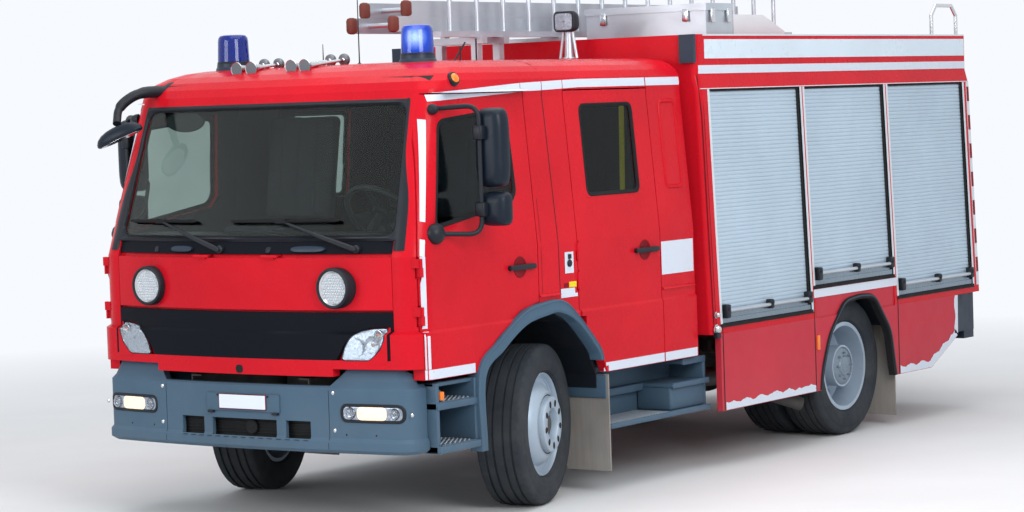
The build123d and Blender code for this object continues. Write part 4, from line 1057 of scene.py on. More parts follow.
def add_fog_lamps():
    bezels, cups, lenses, warm = Shape(), Shape(), Shape(), Shape()
    for side in SIDES:
        rings = []
        for grow, lift in ((0.012, 0.0), (0.008, 0.006), (-0.001, 0.006), (-0.008, -0.006), (-0.008, -0.012)):
            outline = rounded(grown(fog_outline(), grow), 0.047, 6, 10)
            rings.append([on_front(BUMPER_SKIN, side * x, z, lift) for x, z in outline])
        bezels.loft(rings + [rings[0]], caps=False)
        rings = []
        for grow, lift in ((-0.006, 0.0005), (-0.012, 0.0015), (-0.035, 0.0015), (-0.044, 0.0015)):
            outline = rounded(grown(fog_outline(), grow), 0.047, 6, 10)
            rings.append([on_front(BUMPER_SKIN, side * x, z, lift) for x, z in outline])
        cups.loft(rings, caps=True)
        for x, radius in ((0.733, 0.032), (1.012, 0.031)):
            place = on_front(BUMPER_SKIN, side * x, 0.658, 0.0015)
            cups.lathe(((0.0, radius * 0.72), (0.003, radius * 0.8), (0.006, radius), (0.008, radius * 1.04),
                        (0.0, radius * 1.08)), place, (0, -1, 0), 28, closed=True)
            lenses.lathe(((0.001, radius * 0.74), (0.006, radius * 0.68), (0.010, radius * 0.45),
                          (0.0115, 0.001)), place, (0, -1, 0), 28)
        rings = []
        for share, lift in ((1.0, 0.002), (0.85, 0.006), (0.3, 0.008)):
            outline = rounded([(0.872 + (x - 0.872) * share, 0.658 + (z - 0.658) * share) for x, z in
                               upright(0.778, 0.966, 0.622, 0.694)], 0.03, 5, 8)
            rings.append([on_front(BUMPER_SKIN, side * x, z, lift) for x, z in outline])
        warm.loft(rings, caps=True)
    piece("fog_lamp_bezels", bezels, "chassis", BLACK_PLASTIC)
    piece("fog_lamp_cups", cups, "chassis", REFLECTOR)
    piece("fog_lamp_lenses", lenses, "chassis", LENS)
    piece("fog_lamp_glow", warm, "chassis", LAMP_GLOW)


add_flap_lamps()
add_headlamps()
add_fog_lamps()


# Reflective stripes and marks of the cab

def film_piece(name, shape, body):
    return piece(name, shape, body, FILM, smooth=60)


DOOR_TOP = 2.366


def stripe_z(station, share):
    """The height of the roof-edge stripe, from its lower edge (0) to its upper edge (1)."""
    rows = ((-0.900, 2.327, 2.373), (-0.080, 2.366, 2.416), (0.500, 2.384, 2.432), (1.700, 2.384, 2.432))
    for (s0, low0, high0), (s1, low1, high1) in zip(rows, rows[1:]):
        if station <= s1:
            t = (station - s0) / (s1 - s0)
            return (low0 + (low1 - low0) * t) * (1 - share) + (high0 + (high1 - high0) * t) * share
    return rows[-1][1] * (1 - share) + rows[-1][2] * share


def add_cab_stripes():
    roof, fronts, rears, marks = Shape(), {}, {}, Shape()
    for side in SIDES:
        front = fronts[side] = Shape()
        for s0, s1 in ((-0.895, -0.085), (-0.080, 0.125), (0.131, 0.335), (0.341, 1.212), (1.222, 1.600)):
            count = max(4, int((s1 - s0) / 0.015))
            stations = [s0 + (s1 - s0) * c / count for c in range(count + 1)]
            for low, high, shape in ((0.0, DOOR_TOP - 0.0015, front), (DOOR_TOP + 0.0045, 9.0, roof)):
                spans = [(s, max(low, stripe_z(s, 0)), min(high, stripe_z(s, 1))) for s in stations]
                spans = [span for span in spans if span[2] > span[1]]
                if len(spans) > 1 and (shape is roof or s0 < -0.8):
                    shape.loft([[on_side(CAB_SKIN, s, z0 + (z1 - z0) * share, side, 0.0022) for s, z0,
                                 z1 in spans] for share in (0, 0.33, 0.67, 1)], closed=False)
        for path in (((-1.123, 0.893), (-1.123, 1.095)), ((-1.123, 1.112), (-1.123, 1.498))):
            points = [(path[0][0], path[0][1] + (path[1][1] - path[0][1]) * k / 8) for k in range(9)]
            side_band(front, CAB_SKIN, side, points, -0.030)
        for low, high in ((0.0, 0.105), (0.215, 0.850)):
            points = []
            for k in range(17):
                t = low + (high - low) * k / 16
                points.append((-1.122 + 0.204 * t, 1.502 + 0.862 * t))
            side_band(front, CAB_SKIN, side, points, -0.026)
        side_sheet(front, CAB_SKIN, side, -1.128, -0.700, 0.838, 0.890, columns=20)
        rear = rears[side] = Shape()
        side_sheet(rear, CAB_SKIN, side, 0.585, 1.222, 0.718, 0.770, columns=20)
        side_sheet(marks, CAB_SKIN, side, 1.234, 1.600, 0.718, 0.770, columns=12)
    film_piece("roof_edge_stripe", roof, "chassis")
    for side in SIDES:
        film_piece("door_stripes_" + DOOR_BODY["f", side][-2:], fronts[side], DOOR_BODY["f", side])
        film_piece("door_stripes_" + DOOR_BODY["r", side][-2:], rears[side], DOOR_BODY["r", side])
    film_piece("crew_sill_stripe", marks, "chassis")


def pillar_marks():
    """Plates and patches on the pillar between the doors and on the panel behind the crew door."""
    plates, locks, yellow, dark = Shape(), Shape(), Shape(), Shape()
    for side in SIDES:
        side_sheet(plates, CAB_SKIN, side, 0.208, 0.296, 1.318, 1.440, 0.002, 2, 2)
        side_sheet(plates, CAB_SKIN, side, 0.160, 0.330, 1.180, 1.232, columns=6)
        side_sheet(plates, CAB_SKIN, side, 1.236, 1.596, 1.240, 1.440, columns=10, rows=6)
        side_sheet(yellow, CAB_SKIN, side, 0.245, 0.320, 1.236, 1.268, columns=3)
        side_sheet(dark, CAB_SKIN, side, 0.195, 0.240, 1.238, 1.262, columns=3)
        place = on_side(CAB_SKIN, 0.252, 1.375, side, 0.0025)
        locks.lathe(((0.0, 0.022), (0.006, 0.021), (0.010, 0.016), (0.011, 0.002)), place, (side, 0, 0), 24)
        locks.box(place + Vector((-0.001 if side > 0 else -0.009, -0.012, 0.026)),
                  place + Vector((0.009 if side > 0 else 0.001, 0.012, 0.052)))
    film_piece("pillar_plates", plates, "chassis")
    piece("pillar_locks", locks, "chassis", BLACK_PLASTIC, bevel=0.001)
    piece("pillar_yellow", yellow, "chassis", YELLOW)
    piece("pillar_dark", dark, "chassis", DEEP_RED)


def add_cab_panels():
    """Seams of the cab's extension, the pressed panel behind the crew door and the crease under the belt."""
    seams, raised, folds = Shape(), Shape(), Shape()
    for side in SIDES:
        path = [(0.160 - 0.02 * (z - 1.1), z) for z in [1.16 + 1.26 * k / 30 for k in range(31)]]
        side_band(seams, CAB_SKIN, side, path, 0.006, 0.0008)
        path = [(-0.020, z) for z in [1.16 + 0.6 * k / 10 for k in range(11)]]
        side_band(seams, CAB_SKIN, side, path, 0.003, 0.0008)
        outline = upright(1.345, 1.545, 1.755, 2.300)
        rings = []
        for inset, lift in ((0.0, 0.0005), (0.006, 0.008), (0.015, 0.009), (0.026, 0.001)):
            points = rounded(grown(outline, -inset), 0.045 - inset, 6, 6)
            rings.append([on_side(CAB_SKIN, s, z, side, lift) for s, z in points])
        raised.loft(rings, caps=False)
        for s0, s1, z in ((-0.050, 0.150, 1.200), (1.240, 1.600, 1.150)):
            rings = []
            for k in range(9):
                s = s0 + (s1 - s0) * k / 8
                base = on_side(CAB_SKIN, s, z, side, -0.001)
                top = on_side(CAB_SKIN, s, z + 0.016, side, -0.001)
                out = Vector((side * 0.011, 0, 0))
                rings.append([base, base + out, base + out * 0.9 + Vector((0, 0, 0.005)), top])
            folds.loft(rings)
    line = roof_line(0.145, 0.0008)
    seams.loft([[p + Vector((0, reach, 0)) for p in line] for reach in (-0.004, 0.004)], closed=False)
    piece("cab_seams", seams, "chassis", RUBBER_AND_SHADE)
    piece("pressed_panels", raised, "chassis", RED_PAINT)
    piece("cab_folds", folds, "chassis", RED_PAINT)


def roof_line(station, lift):
    """Points over the roof at a station, from one upper edge to the other."""
    points = []
    for k in range(61):
        x = -1.09 + 2.18 * k / 60
        hit = SHELL_SKIN.ray_cast(Vector((x, at(station), 4)), Vector((0, 0, -1)))[0]
        if hit is not None:
            points.append(hit + Vector((0, 0, lift)))
    return points


add_cab_stripes()
pillar_marks()
add_cab_panels()


def bar_section(centre, along, across, up, rows):
    """Rings of a bar with rounded long edges: rows of (distance along, half width, half height)."""
    rings = []
    for t, half, high in rows:
        place = centre + along * t
        ring = []
        for angle in turns(16):
            wide, tall = squared(angle, 0.55)
            ring.append(place + across * wide * half + up * tall * high)
        rings.append(ring)
    return rings


def add_handles():
    """Black pull handles over round finger cups, whose darker red is painted shade of the recess."""
    for (place, side), body in DOOR_BODY.items():
        start, z = (-0.349, 1.385) if place == "f" else (0.940, 1.403)
        out = Vector((side, 0, 0))
        back = Vector((0, 1, 0))
        up = Vector((0, 0, 1))
        grip, cup = Shape(), Shape()
        centre = Vector((side * 1.181, at(start), z))
        grip.loft(bar_section(centre, back, out, up, ((-0.004, 0.004, 0.008), (0.0, 0.010, 0.0145),
                                                      (0.02, 0.0115, 0.0155), (0.12, 0.0125, 0.0160),
                                                      (0.223, 0.0115, 0.0155), (0.243, 0.010, 0.0145),
                                                      (0.247, 0.004, 0.008))))
        for t in (0.020, 0.223):
            foot = Vector((side * 1.154, at(start + t), z))
            grip.loft(bar_section(foot, out, back, up, ((0.0, 0.023, 0.0155), (0.006, 0.0225, 0.0152),
                                                        (0.022, 0.022, 0.0148))))
        shell = skin_of(body)
        middle = on_side(shell, start + 0.115, z + 0.03, side, 0)
        middle.z = z
        # The finger cup is coloured darker than the door: painted shade of the recess.
        cup.lathe(((-0.002, 0.062), (0.0030, 0.060), (0.0036, 0.056), (0.0012, 0.051), (0.0006, 0.030),
                   (0.0004, 0.001)), middle, (side, 0, 0), 40)
        piece("handle_" + body[-2:], grip, body, BLACK_PLASTIC)
        piece("handle_cup_" + body[-2:], cup, body, DEEP_RED)


add_handles()


# Mirrors

def mirror_head(shape, centre, half_x, half_z, front, back, glass):
    """A rounded housing, bowed ahead, with its pane let into the rear."""
    depth = back - front
    rows = ((0.0, 0.50), (0.06, 0.72), (0.18, 0.88), (0.40, 0.97), (0.70, 1.0), (0.94, 1.0), (1.0, 0.985),
            (0.97, 0.955), (0.90, 0.945))
    rings = []
    for t, share in rows:
        ring = []
        for angle in turns(40):
            wide, tall = squared(angle, 0.42)
            dx = wide * (half_x - (1 - share) * 0.11)
            dz = tall * (half_z - (1 - share) * 0.11)
            ring.append(Vector((centre[0] + dx, at(front + depth * t), centre[1] + dz)))
        rings.append(ring)
    shape.loft(rings)
    ring = []
    for angle in turns(40):
        wide, tall = squared(angle, 0.42)
        ring.append((centre[0] + wide * half_x * 0.93, centre[1] + tall * half_z * 0.96))
    glass.loft([[Vector((x, at(back - ahead), z)) for x, z in ring] for ahead in (0.006, 0.002)])


def smooth_path(points, radius=0.06, steps=6):
    """A path whose corners are rounded."""
    points = [Vector(p) for p in points]
    out = [points[0]]
    for before, here, after in zip(points, points[1:], points[2:]):
        a = here + (before - here).normalized() * min(radius, (before - here).length * 0.45)
        b = here + (after - here).normalized() * min(radius, (after - here).length * 0.45)
        for k in range(steps + 1):
            t = k / steps
            out.append((a * (1 - t) + here * t) * (1 - t) + (here * (1 - t) + b * t) * t)
    out.append(points[-1])
    return out


def rounded_block(shape, low, high, round_off=0.012):
    """A block with rounded edges on every side, as rings along z."""
    cx, cy = (low[0] + high[0]) / 2, (low[1] + high[1]) / 2
    hx, hy = (high[0] - low[0]) / 2, (high[1] - low[1]) / 2
    height = high[2] - low[2]
    rings = []
    for dz, inset in ((0, round_off), (round_off * 0.3, round_off * 0.3), (round_off, 0),
                      (height - round_off, 0), (height - round_off * 0.3, round_off * 0.3),
                      (height, round_off)):
        outline = rounded(((cx - hx + inset, cy - hy + inset), (cx + hx - inset, cy - hy + inset),
                           (cx + hx - inset, cy + hy - inset), (cx - hx + inset, cy + hy - inset)),
                          round_off, 3)
        rings.append([(x, y, low[2] + dz) for x, y in outline])
    shape.loft(rings)


def side_block(shape, side, x0, x1, s0, s1, z0, z1, round_off):
    """A block with rounded edges on one side of the vehicle."""
    rounded_block(shape, (min(side * x0, side * x1), at(s0), z0), (max(side * x0, side * x1), at(s1), z1),
                  round_off)


def add_mirrors():
    for side, name in ((1, "left"), (-1, "right")):
        body = DOOR_BODY["f", side]
        housing, pane, arm = Shape(), Shape(), Shape()
        mirror_head(housing, (1.330, 2.0675), 0.094, 0.216, -0.744, -0.651, pane)
        mirror_head(housing, (1.3425, 1.734), 0.092, 0.093, -0.744, -0.656, pane)
        path = smooth_path(((1.050, at(-0.885), 2.286), (1.300, at(-0.760), 2.300),
                            (1.300, at(-0.760), 1.600), (1.150, at(-0.985), 1.615)), 0.08)
        arm.tube(path, 0.0138, 14)
        for z0, z1 in ((2.110, 2.190), (1.695, 1.775)):
            rounded_block(arm, (1.268, at(-0.788), z0), (1.332, at(-0.722), z1), 0.014)
        for station, z, height in ((-1.000, 1.615, 0.058), (-0.885, 2.284, 0.030)):
            foot = on_side(CAB_SKIN, station, z, 1, -0.004)
            arm.lathe(((0.0, height), (0.018, height * 0.95), (0.036, height * 0.72), (0.048, height * 0.35),
                       (0.050, 0.002)), foot, (0.93, -0.35, 0), 28)
        for label, shape, material, slot in (("housing", housing, MIRROR_SHELL, "black_plastic"),
                                             ("arm", arm, BLACK_PLASTIC, "black_plastic"),
                                             ("pane", pane, CHROME, "chrome")):
            if side < 0:
                shape = shape.flipped()
            replaced = ("mirror_" + name,) if label == "housing" else ()
            piece("mirror_%s_%s" % (label, name), shape, body, material, replaced)


def add_kerb_mirror():
    arm, head, pane = Shape(), Shape(), Shape()
    path = smooth_path(((-0.880, at(-0.800), 2.440), (-0.960, at(-1.010), 2.440), (-1.010, at(-1.130), 2.360),
                        (-0.960, at(-1.200), 2.262)), 0.09)
    arm.tube(path, [0.034] * 4 + [0.030] * (len(path) - 8) + [0.024] * 4, 18)
    arm.lathe(((0.0, 0.055), (0.02, 0.052), (0.05, 0.038), (0.06, 0.034)), path[0], path[3] - path[0], 24)
    turn = Matrix.Rotation(math.radians(20), 4, "Z") @ Matrix.Rotation(math.radians(-22), 4, "Y")
    place = Matrix.Translation(Vector((-0.950, at(-1.200), 2.205))) @ turn
    rows = ((-0.036, 0.86), (-0.034, 0.95), (-0.026, 1.0), (-0.012, 0.985), (0.008, 0.90), (0.026, 0.72),
            (0.038, 0.46), (0.043, 0.20))
    rings = []
    for z, share in rows:
        ring = []
        for angle in turns(36):
            wide, deep = squared(angle, 0.9)
            ring.append(place @ Vector((wide * 0.150 * share, deep * 0.060 * share, z)))
        rings.append(ring)
    head.loft(rings)
    ring = [place @ Vector((math.cos(a) * 0.128, math.sin(a) * 0.050, -0.0345)) for a in turns(36)]
    pane.loft([ring, [p + Vector((0, 0, -0.003)) for p in ring]])
    piece("kerb_mirror_arm", arm, "chassis", BLACK_PLASTIC, ("kerb_mirror",))
    piece("kerb_mirror_head", head, "chassis", MIRROR_SHELL)
    piece("kerb_mirror_pane", pane, "chassis", CHROME)


add_mirrors()
add_kerb_mirror()


# Shutters of the body

BODY_ROWS = ((0.355, 1.240), (0.835, 1.240), (2.350, 1.190), (2.440, 1.167), (2.690, 1.167))
BODY_SPAN = (1.690, 5.365)
BAYS = ((1.801, 2.921, 0.885), (2.981, 4.070, 1.037), (4.130, 5.270, 0.885))
BAY_TOP = 2.350
SLAT = 0.025
SLAT_PROFILE = ((0.0, -0.0032), (0.0012, -0.0032), (0.0028, 0.0), (0.007, 0.0010), (0.0125, 0.0014),
                (0.018, 0.0010), (0.0224, 0.0), (0.0240, -0.0032))
SHUTTER_DEPTH = 0.015
FOOT_RAIL = 0.075


def body_x(z):
    """The half width of the body at a height."""
    for (z0, x0), (z1, x1) in zip(BODY_ROWS, BODY_ROWS[1:]):
        if z <= z1:
            return x0 + (x1 - x0) * max(0.0, z - z0) / (z1 - z0)
    return BODY_ROWS[-1][1]


def side_bar(shape, side, s0, s1, z0, z1, low, high, steps=1):
    """A bar on the body's side between two depths from its surface, following the lean."""
    rings = []
    for k in range(steps + 1):
        z = z0 + (z1 - z0) * k / steps
        x = body_x(z)
        rings.append([Vector((side * (x + out), at(s), z)) for out,
                      s in ((low, s0), (high, s0), (high, s1), (low, s1))])
    return shape.loft(rings)


def slat_rows(start, top):
    """The slats' profile from a start height to the top: rows of how far they stand out and height."""
    rows = []
    for k in range(int((top - start) / SLAT) + 1):
        rows.extend((out, min(start + k * SLAT + dz, top)) for dz, out in SLAT_PROFILE)
    return rows


def add_shutters():
    slats, rails, seals_and_shadow, feet, bars, grips = (Shape() for _ in range(6))
    for side in SIDES:
        for s0, s1, bottom in BAYS:
            rows = [(body_x(z) - SHUTTER_DEPTH + out, z) for out, z in slat_rows(bottom + FOOT_RAIL, BAY_TOP)]
            rows += [(body_x(BAY_TOP) - 0.034, BAY_TOP), (body_x(bottom) - 0.034, bottom + FOOT_RAIL)]
            ends = [[Vector((side * x, at(s), z)) for x, z in rows] for s in (s0 + 0.003, s1 - 0.003)]
            slats.loft(ends, caps=False)
            for edge, way in ((s0, -1), (s1, 1)):
                side_bar(rails, side, min(edge, edge + way * 0.022), max(edge, edge + way * 0.022),
                         bottom - 0.004, BAY_TOP, -0.016, 0.0035)
            # The strip beside each bay's rear edge is a rubber seal, widened with painted shade of the bay's
            # recess.
            side_bar(seals_and_shadow, side, s1 - 0.026, s1, bottom, BAY_TOP, -0.016, -0.006)
            side_bar(seals_and_shadow, side, s0, s0 + 0.008, bottom, BAY_TOP, -0.016, -0.009)
            # The dark strip under each bay's top is painted shadow.
            side_bar(seals_and_shadow, side, s0, s1, BAY_TOP - 0.014, BAY_TOP, -0.016, -0.008)
            side_bar(seals_and_shadow, side, s0 - 0.022, s1 + 0.012, bottom - 0.012, bottom + 0.010, -0.020, 0.006)
            side_bar(feet, side, s0 + 0.003, s1 - 0.003, bottom + 0.010, bottom + FOOT_RAIL + 0.002, -0.034,
                     -0.010)
            side_bar(feet, side, s0 + 0.003, s1 - 0.003, bottom + 0.012, bottom + 0.044, -0.012, -0.004)
            bar_z = bottom + 0.088
            bar_x = body_x(bar_z) + 0.014
            bars.tube([(side * bar_x, at(s0 + 0.035), bar_z), (side * bar_x, at(s1 - 0.035), bar_z)], 0.0115,
                      16)
            for s, half, low, high in ((s0 + 0.045, 0.026, -0.045, 0.040),
                                       (s0 + 0.52 * (s1 - s0), 0.020, -0.026, 0.034),
                                       (s1 - 0.045, 0.026, -0.030, 0.045)):
                rounded_block(grips, (side * bar_x - (0.030 if side > 0 else 0.014), at(s - half),
                                      bar_z + low), (side * bar_x + (0.014 if side > 0 else 0.030),
                                                     at(s + half), bar_z + high), 0.008)
                knob = Vector((side * bar_x, at(s), bar_z + high * 0.4))
                grips.lathe(((0.010, 0.016), (0.017, 0.015), (0.020, 0.010), (0.021, 0.002)), knob,
                            (side, 0, 0), 16)
    back = at(5.350) + SHUTTER_DEPTH - 0.012
    rows = [(out, z) for out, z in slat_rows(0.945, 2.250)]
    line = [(back + out, z) for out, z in rows] + [(back - 0.018, 2.250), (back - 0.018, 0.945)]
    slats.loft([[Vector((x, y, z)) for y, z in line] for x in (-0.697, 0.697)], caps=False)
    for x0, x1 in ((-0.722, -0.695), (0.695, 0.722)):
        rails.box((x0, at(5.340), 0.880), (x1, at(5.3685), 2.262))
    feet.box((-0.697, at(5.335), 0.888), (0.697, at(5.356), 0.948))
    seals_and_shadow.box((-0.722, at(5.340), 0.872), (0.722, at(5.369), 0.889))
    bars.tube([(-0.62, at(5.374), 0.985), (0.62, at(5.374), 0.985)], 0.0115, 16)
    for x in (-0.60, 0.0, 0.60):
        rounded_block(grips, (x - 0.025, at(5.350), 0.950), (x + 0.025, at(5.384), 1.010), 0.008)
    piece("shutter_slats", slats, "chassis", SHUTTER_METAL, ("shutters",), smooth=50)
    piece("shutter_rails", rails, "chassis", RAIL_METAL, bevel=0.0015)
    # Rubber seals of the bays, with painted shadow and painted shade strips among them.
    piece("shutter_guides", seals_and_shadow, "chassis", RUBBER_AND_SHADE)
    piece("shutter_feet", feet, "chassis", FOOT_METAL, bevel=0.002)
    piece("shutter_bars", bars, "chassis", ALUMINIUM)
    piece("shutter_grips", grips, "chassis", BLACK_PLASTIC)


# Stripes, seams and marks of the body

PEEL = (0.000, 0.006, 0.002, 0.009, 0.001, -0.004, 0.005, 0.010, 0.004, -0.006, 0.003, 0.012, 0.006, -0.003,
        0.002, 0.008, 0.014, 0.007, -0.002, 0.004, 0.011, 0.003, -0.005, 0.006)


def ragged(shape, side, path, width, seed):
    """A torn film strip: it follows a path, and its other edge wanders."""
    points = []
    for (s0, z0), (s1, z1) in zip(path, path[1:]):
        count = max(2, int(math.hypot(s1 - s0, z1 - z0) / 0.012))
        points.extend((s0 + (s1 - s0) * k / count, z0 + (z1 - z0) * k / count) for k in range(count))
    points.append(path[-1])
    rings = []
    for i, (s, z) in enumerate(points):
        before, after = points[max(i - 1, 0)], points[min(i + 1, len(points) - 1)]
        length = math.hypot(after[0] - before[0], after[1] - before[1])
        across = (-(after[1] - before[1]) / length, (after[0] - before[0]) / length)
        step = (i + seed) / 3.4
        wave = PEEL[int(step) % 24] * (1 - step % 1) + PEEL[(int(step) + 1) % 24] * (step % 1)
        reach = width + 1.4 * wave + 0.25 * PEEL[(i * 5 + seed) % 24]
        rings.append([Vector((side * (body_x(z + across[1] * t) + 0.0012), at(s + across[0] * t),
                              z + across[1] * t)) for t in (0.001, reach)])
    return shape.loft(rings, closed=False)


def add_body_stripes():
    bands, panel, trim_and_highlight, torn, hazard, seams = (Shape() for _ in range(6))
    start, stop = BODY_SPAN[0] + 0.030, BODY_SPAN[1] - 0.004
    for side in SIDES:
        side_bar(bands, side, start, stop, 2.447, 2.499, -0.002, 0.0012)
        side_bar(panel, side, start + 0.075, stop - 0.004, 2.540, 2.659, -0.002, 0.0015)
        # The light metal strip along the body's top edge stands in for the bright line along that edge: a painted
        # highlight laid as trim.
        side_bar(trim_and_highlight, side, start + 0.060, stop, 2.681, 2.6915, -0.030, 0.002)
        side_bar(trim_and_highlight, side, start - 0.02, stop, 2.3515, 2.3565, -0.002, 0.004)
        side_bar(bands, side, 2.960, 4.108, 0.968, 1.022, -0.012, 0.0012)
        ragged(torn, side, ((1.815, 0.357), (2.945, 0.357)), 0.040, 3)
        ragged(torn, side, ((4.125, 0.357), (4.590, 0.357), (5.010, 0.549), (5.019, 0.832)), 0.044, 11)
        for k in range(7):
            z = 0.98 + k * 0.205
            side_bar(hazard, side, 5.330, 5.362, z, z + 0.105, -0.002, 0.0052)
        side_bar(trim_and_highlight, side, 5.326, 5.3635, 0.885, 2.350, -0.002, 0.0040, 6)
        for s in (1.800, 2.951, 4.112):
            side_bar(seams, side, s - 0.004, s + 0.004, 0.357, 0.872 if s != 2.951 else 0.968, -0.002, 0.002,
                     3)
        side_bar(seams, side, 1.700, 1.704, 0.90, 2.44, -0.002, 0.0012, 6)
        side_bar(seams, side, 1.726, 1.730, 0.90, 2.36, -0.002, 0.0012, 6)
    piece("body_white_bands", bands, "chassis", FILM)
    piece("body_top_panel", panel, "chassis", PANEL_FILM)
    piece("body_trim", trim_and_highlight, "chassis", RAIL_METAL)
    piece("skirt_torn_stripes", torn, "chassis", FILM)
    piece("rear_edge_marks", hazard, "chassis", DEEP_RED)
    piece("body_seams", seams, "chassis", RUBBER_AND_SHADE)


REAR_ARCH = [(REAR_AXLE + s, z) for s, z in ((-0.541, 0.357), (-0.520, 0.488), (-0.413, 0.710),
                                             (-0.198, 0.911), (0.011, 0.932), (0.208, 0.920), (0.424, 0.671),
                                             (0.490, 0.357))]


def add_rear_arch():
    """The rubber edge round the rear wheel's opening, a lighter glossy strip on its top that is a painted
    highlight, and the amber marker ahead of it.
    """
    edge, highlight_strip, markers = Shape(), Shape(), Shape()
    path = [tuple(p)[:2] for p in smooth_path([(s, z, 0) for s, z in REAR_ARCH], 0.07, 6)]
    for side in SIDES:
        rings, highlight_rows = [], []
        for i, (s, z) in enumerate(path):
            before, after = path[max(i - 1, 0)], path[min(i + 1, len(path) - 1)]
            length = math.hypot(after[0] - before[0], after[1] - before[1])
            out = (-(after[1] - before[1]) / length, (after[0] - before[0]) / length)
            ring = []
            for t, lift in ((-0.010, -0.045), (-0.014, 0.004), (-0.006, 0.011), (0.010, 0.011),
                            (0.018, 0.006), (0.020, -0.002)):
                ring.append(Vector((side * (body_x(z) + lift), at(s + out[0] * t), z + out[1] * t)))
            rings.append(ring)
            # A lighter, glossier strip along the top of the edge: a painted highlight.
            highlight_rows.append([Vector((side * (body_x(z) + lift), at(s + out[0] * t), z + out[1] * t))
                           for t, lift in ((0.002, 0.0115), (0.013, 0.0113))])
        edge.loft(rings, caps=True)
        highlight_strip.loft(highlight_rows, closed=False)
        side_block(markers, side, 1.238, 1.250, 2.972, 3.004, 0.625, 0.722, 0.004)
    piece("rear_arch_edge", edge, "chassis", RUBBER_AND_SHADE)
    piece("rear_arch_gloss", highlight_strip, "chassis", SLATE_PLASTIC)
    piece("side_markers", markers, "chassis", ORANGE_LENS)


# Rows of a flare's outer and inner edge, as stations and heights
FLARE_OUTER = ((-0.684, 0.400), (-0.684, 0.836), (-0.484, 0.998), (-0.237, 1.134), (-0.060, 1.170),
               (0.137, 1.174), (0.279, 1.092), (0.505, 0.881), (0.549, 0.790))
FLARE_INNER = ((-0.622, 0.400), (-0.618, 0.800), (-0.440, 0.935), (-0.220, 1.055), (0.000, 1.096),
               (0.130, 1.100), (0.290, 1.030), (0.480, 0.860), (0.520, 0.790))
# Rows of a flare's section: x, and the share of the way from its outer to its inner edge
FLARE_SECTION = ((1.110, 0.0), (1.180, 0.0), (1.1915, 0.03), (1.1950, 0.10), (1.1950, 0.16), (1.1905, 0.22),
                 (1.1895, 0.62), (1.1930, 0.70), (1.1925, 0.90), (1.1870, 1.0), (1.110, 1.0))


def curve_rows(points, steps):
    """Points of an even curve through the given ones."""
    rows = []
    for i in range(len(points) - 1):
        a, b = Vector(points[i]), Vector(points[i + 1])
        before = Vector(points[i - 1]) if i else a - (b - a)
        after = Vector(points[i + 2]) if i + 2 < len(points) else b + (b - a)
        for k in range(steps):
            t = k / steps
            rows.append(0.5 * (2 * a + (b - before) * t + (2 * before - 5 * a + 4 * b - after) * t * t
                               + (3 * a - before - 3 * b + after) * t * t * t))
    return rows + [Vector(points[-1])]


def add_flares():
    """The plastic flares over the front wheels, each one smooth arch."""
    shape = Shape()
    for side in SIDES:
        rings = []
        for outer, inner in zip(curve_rows(FLARE_OUTER, 8), curve_rows(FLARE_INNER, 8)):
            ring = []
            for x, share in FLARE_SECTION:
                s, z = outer.lerp(inner, share)
                ring.append(Vector((side * x, at(s), z)))
            rings.append(ring)
        shape.loft(rings, caps=True)
    piece("flares", shape, "chassis", GREY_PLASTIC, ("arch_flares",), smooth=40)


def add_couplings():
    """Two air and power couplings on the front post of the body's left side."""
    metal, dark = Shape(), Shape()
    for z, radius in ((0.957, 0.017), (0.868, 0.026)):
        metal.lathe(((0.0, radius * 1.2), (0.008, radius * 1.2), (0.009, radius), (0.022, radius * 0.96),
                     (0.032, radius * 0.7), (0.036, radius * 0.25)), (1.236, at(1.722), z), (1, 0, 0), 24)
    side_block(dark, 1, 1.232, 1.262, 1.700, 1.748, 0.812, 0.848, 0.006)
    piece("couplings", metal, "chassis", CHROME)
    piece("coupling_block", dark, "chassis", BLACK_PLASTIC)


add_shutters()
add_body_stripes()
add_rear_arch()
add_flares()
add_couplings()


# Wheel discs and hubs

RIM_SECTION = ((0.080, 0.296), (0.108, 0.2975), (0.114, 0.295), (0.1155, 0.290), (0.110, 0.286),
               (0.094, 0.281), (0.060, 0.274), (0.030, 0.268), (0.020, 0.264), (0.022, 0.259),
               (0.048, 0.252), (0.086, 0.238), (0.116, 0.219), (0.134, 0.198), (0.142, 0.182),
               (0.144, 0.172), (0.141, 0.168), (0.141, 0.163), (0.166, 0.161), (0.173, 0.158),
               (0.176, 0.152), (0.177, 0.144), (0.177, 0.102), (0.174, 0.094), (0.166, 0.090),
               (0.128, 0.087), (0.124, 0.080), (0.130, 0.066), (0.138, 0.050), (0.141, 0.030),
               (0.142, 0.001))


def dark_ovals(shape, centre, axis, up, along, ring, half_ring, half_turn, count):
    """Dark ovals laid on a wheel's plate where its openings are, each set round the axle: painted shade seen
    through the holes.
    """
    other = axis.cross(up)
    for k in range(count):
        angle = math.tau * (k + 0.5) / count
        points = []
        for a in turns(14):
            radius = ring + half_ring * math.cos(a)
            turn = angle + half_turn * math.sin(a) / ring
            points.append(centre + axis * along + (up * math.cos(turn) + other * math.sin(turn)) * radius)
        shape.loft([points, [p + axis * 0.0004 for p in points]])


def nut_ring(shape, centre, axis, along, ring, size, count, height=0.020):
    """Hexagonal wheel nuts with rounded stud ends, in a ring round the axle."""
    side = axis.orthogonal().normalized()
    other = axis.cross(side)
    for angle in turns(count):
        place = centre + axis * along + (side * math.cos(angle) + other * math.sin(angle)) * ring
        shape.lathe(((0.0, size * 1.25), (0.004, size * 1.25), (0.005, size * 1.02), (height, size),
                     (height + 0.002, size * 0.8)), place, axis, 6)
        shape.lathe(((height, size * 0.55), (height + 0.008, size * 0.5), (height + 0.010, size * 0.2)),
                    place, axis, 10)


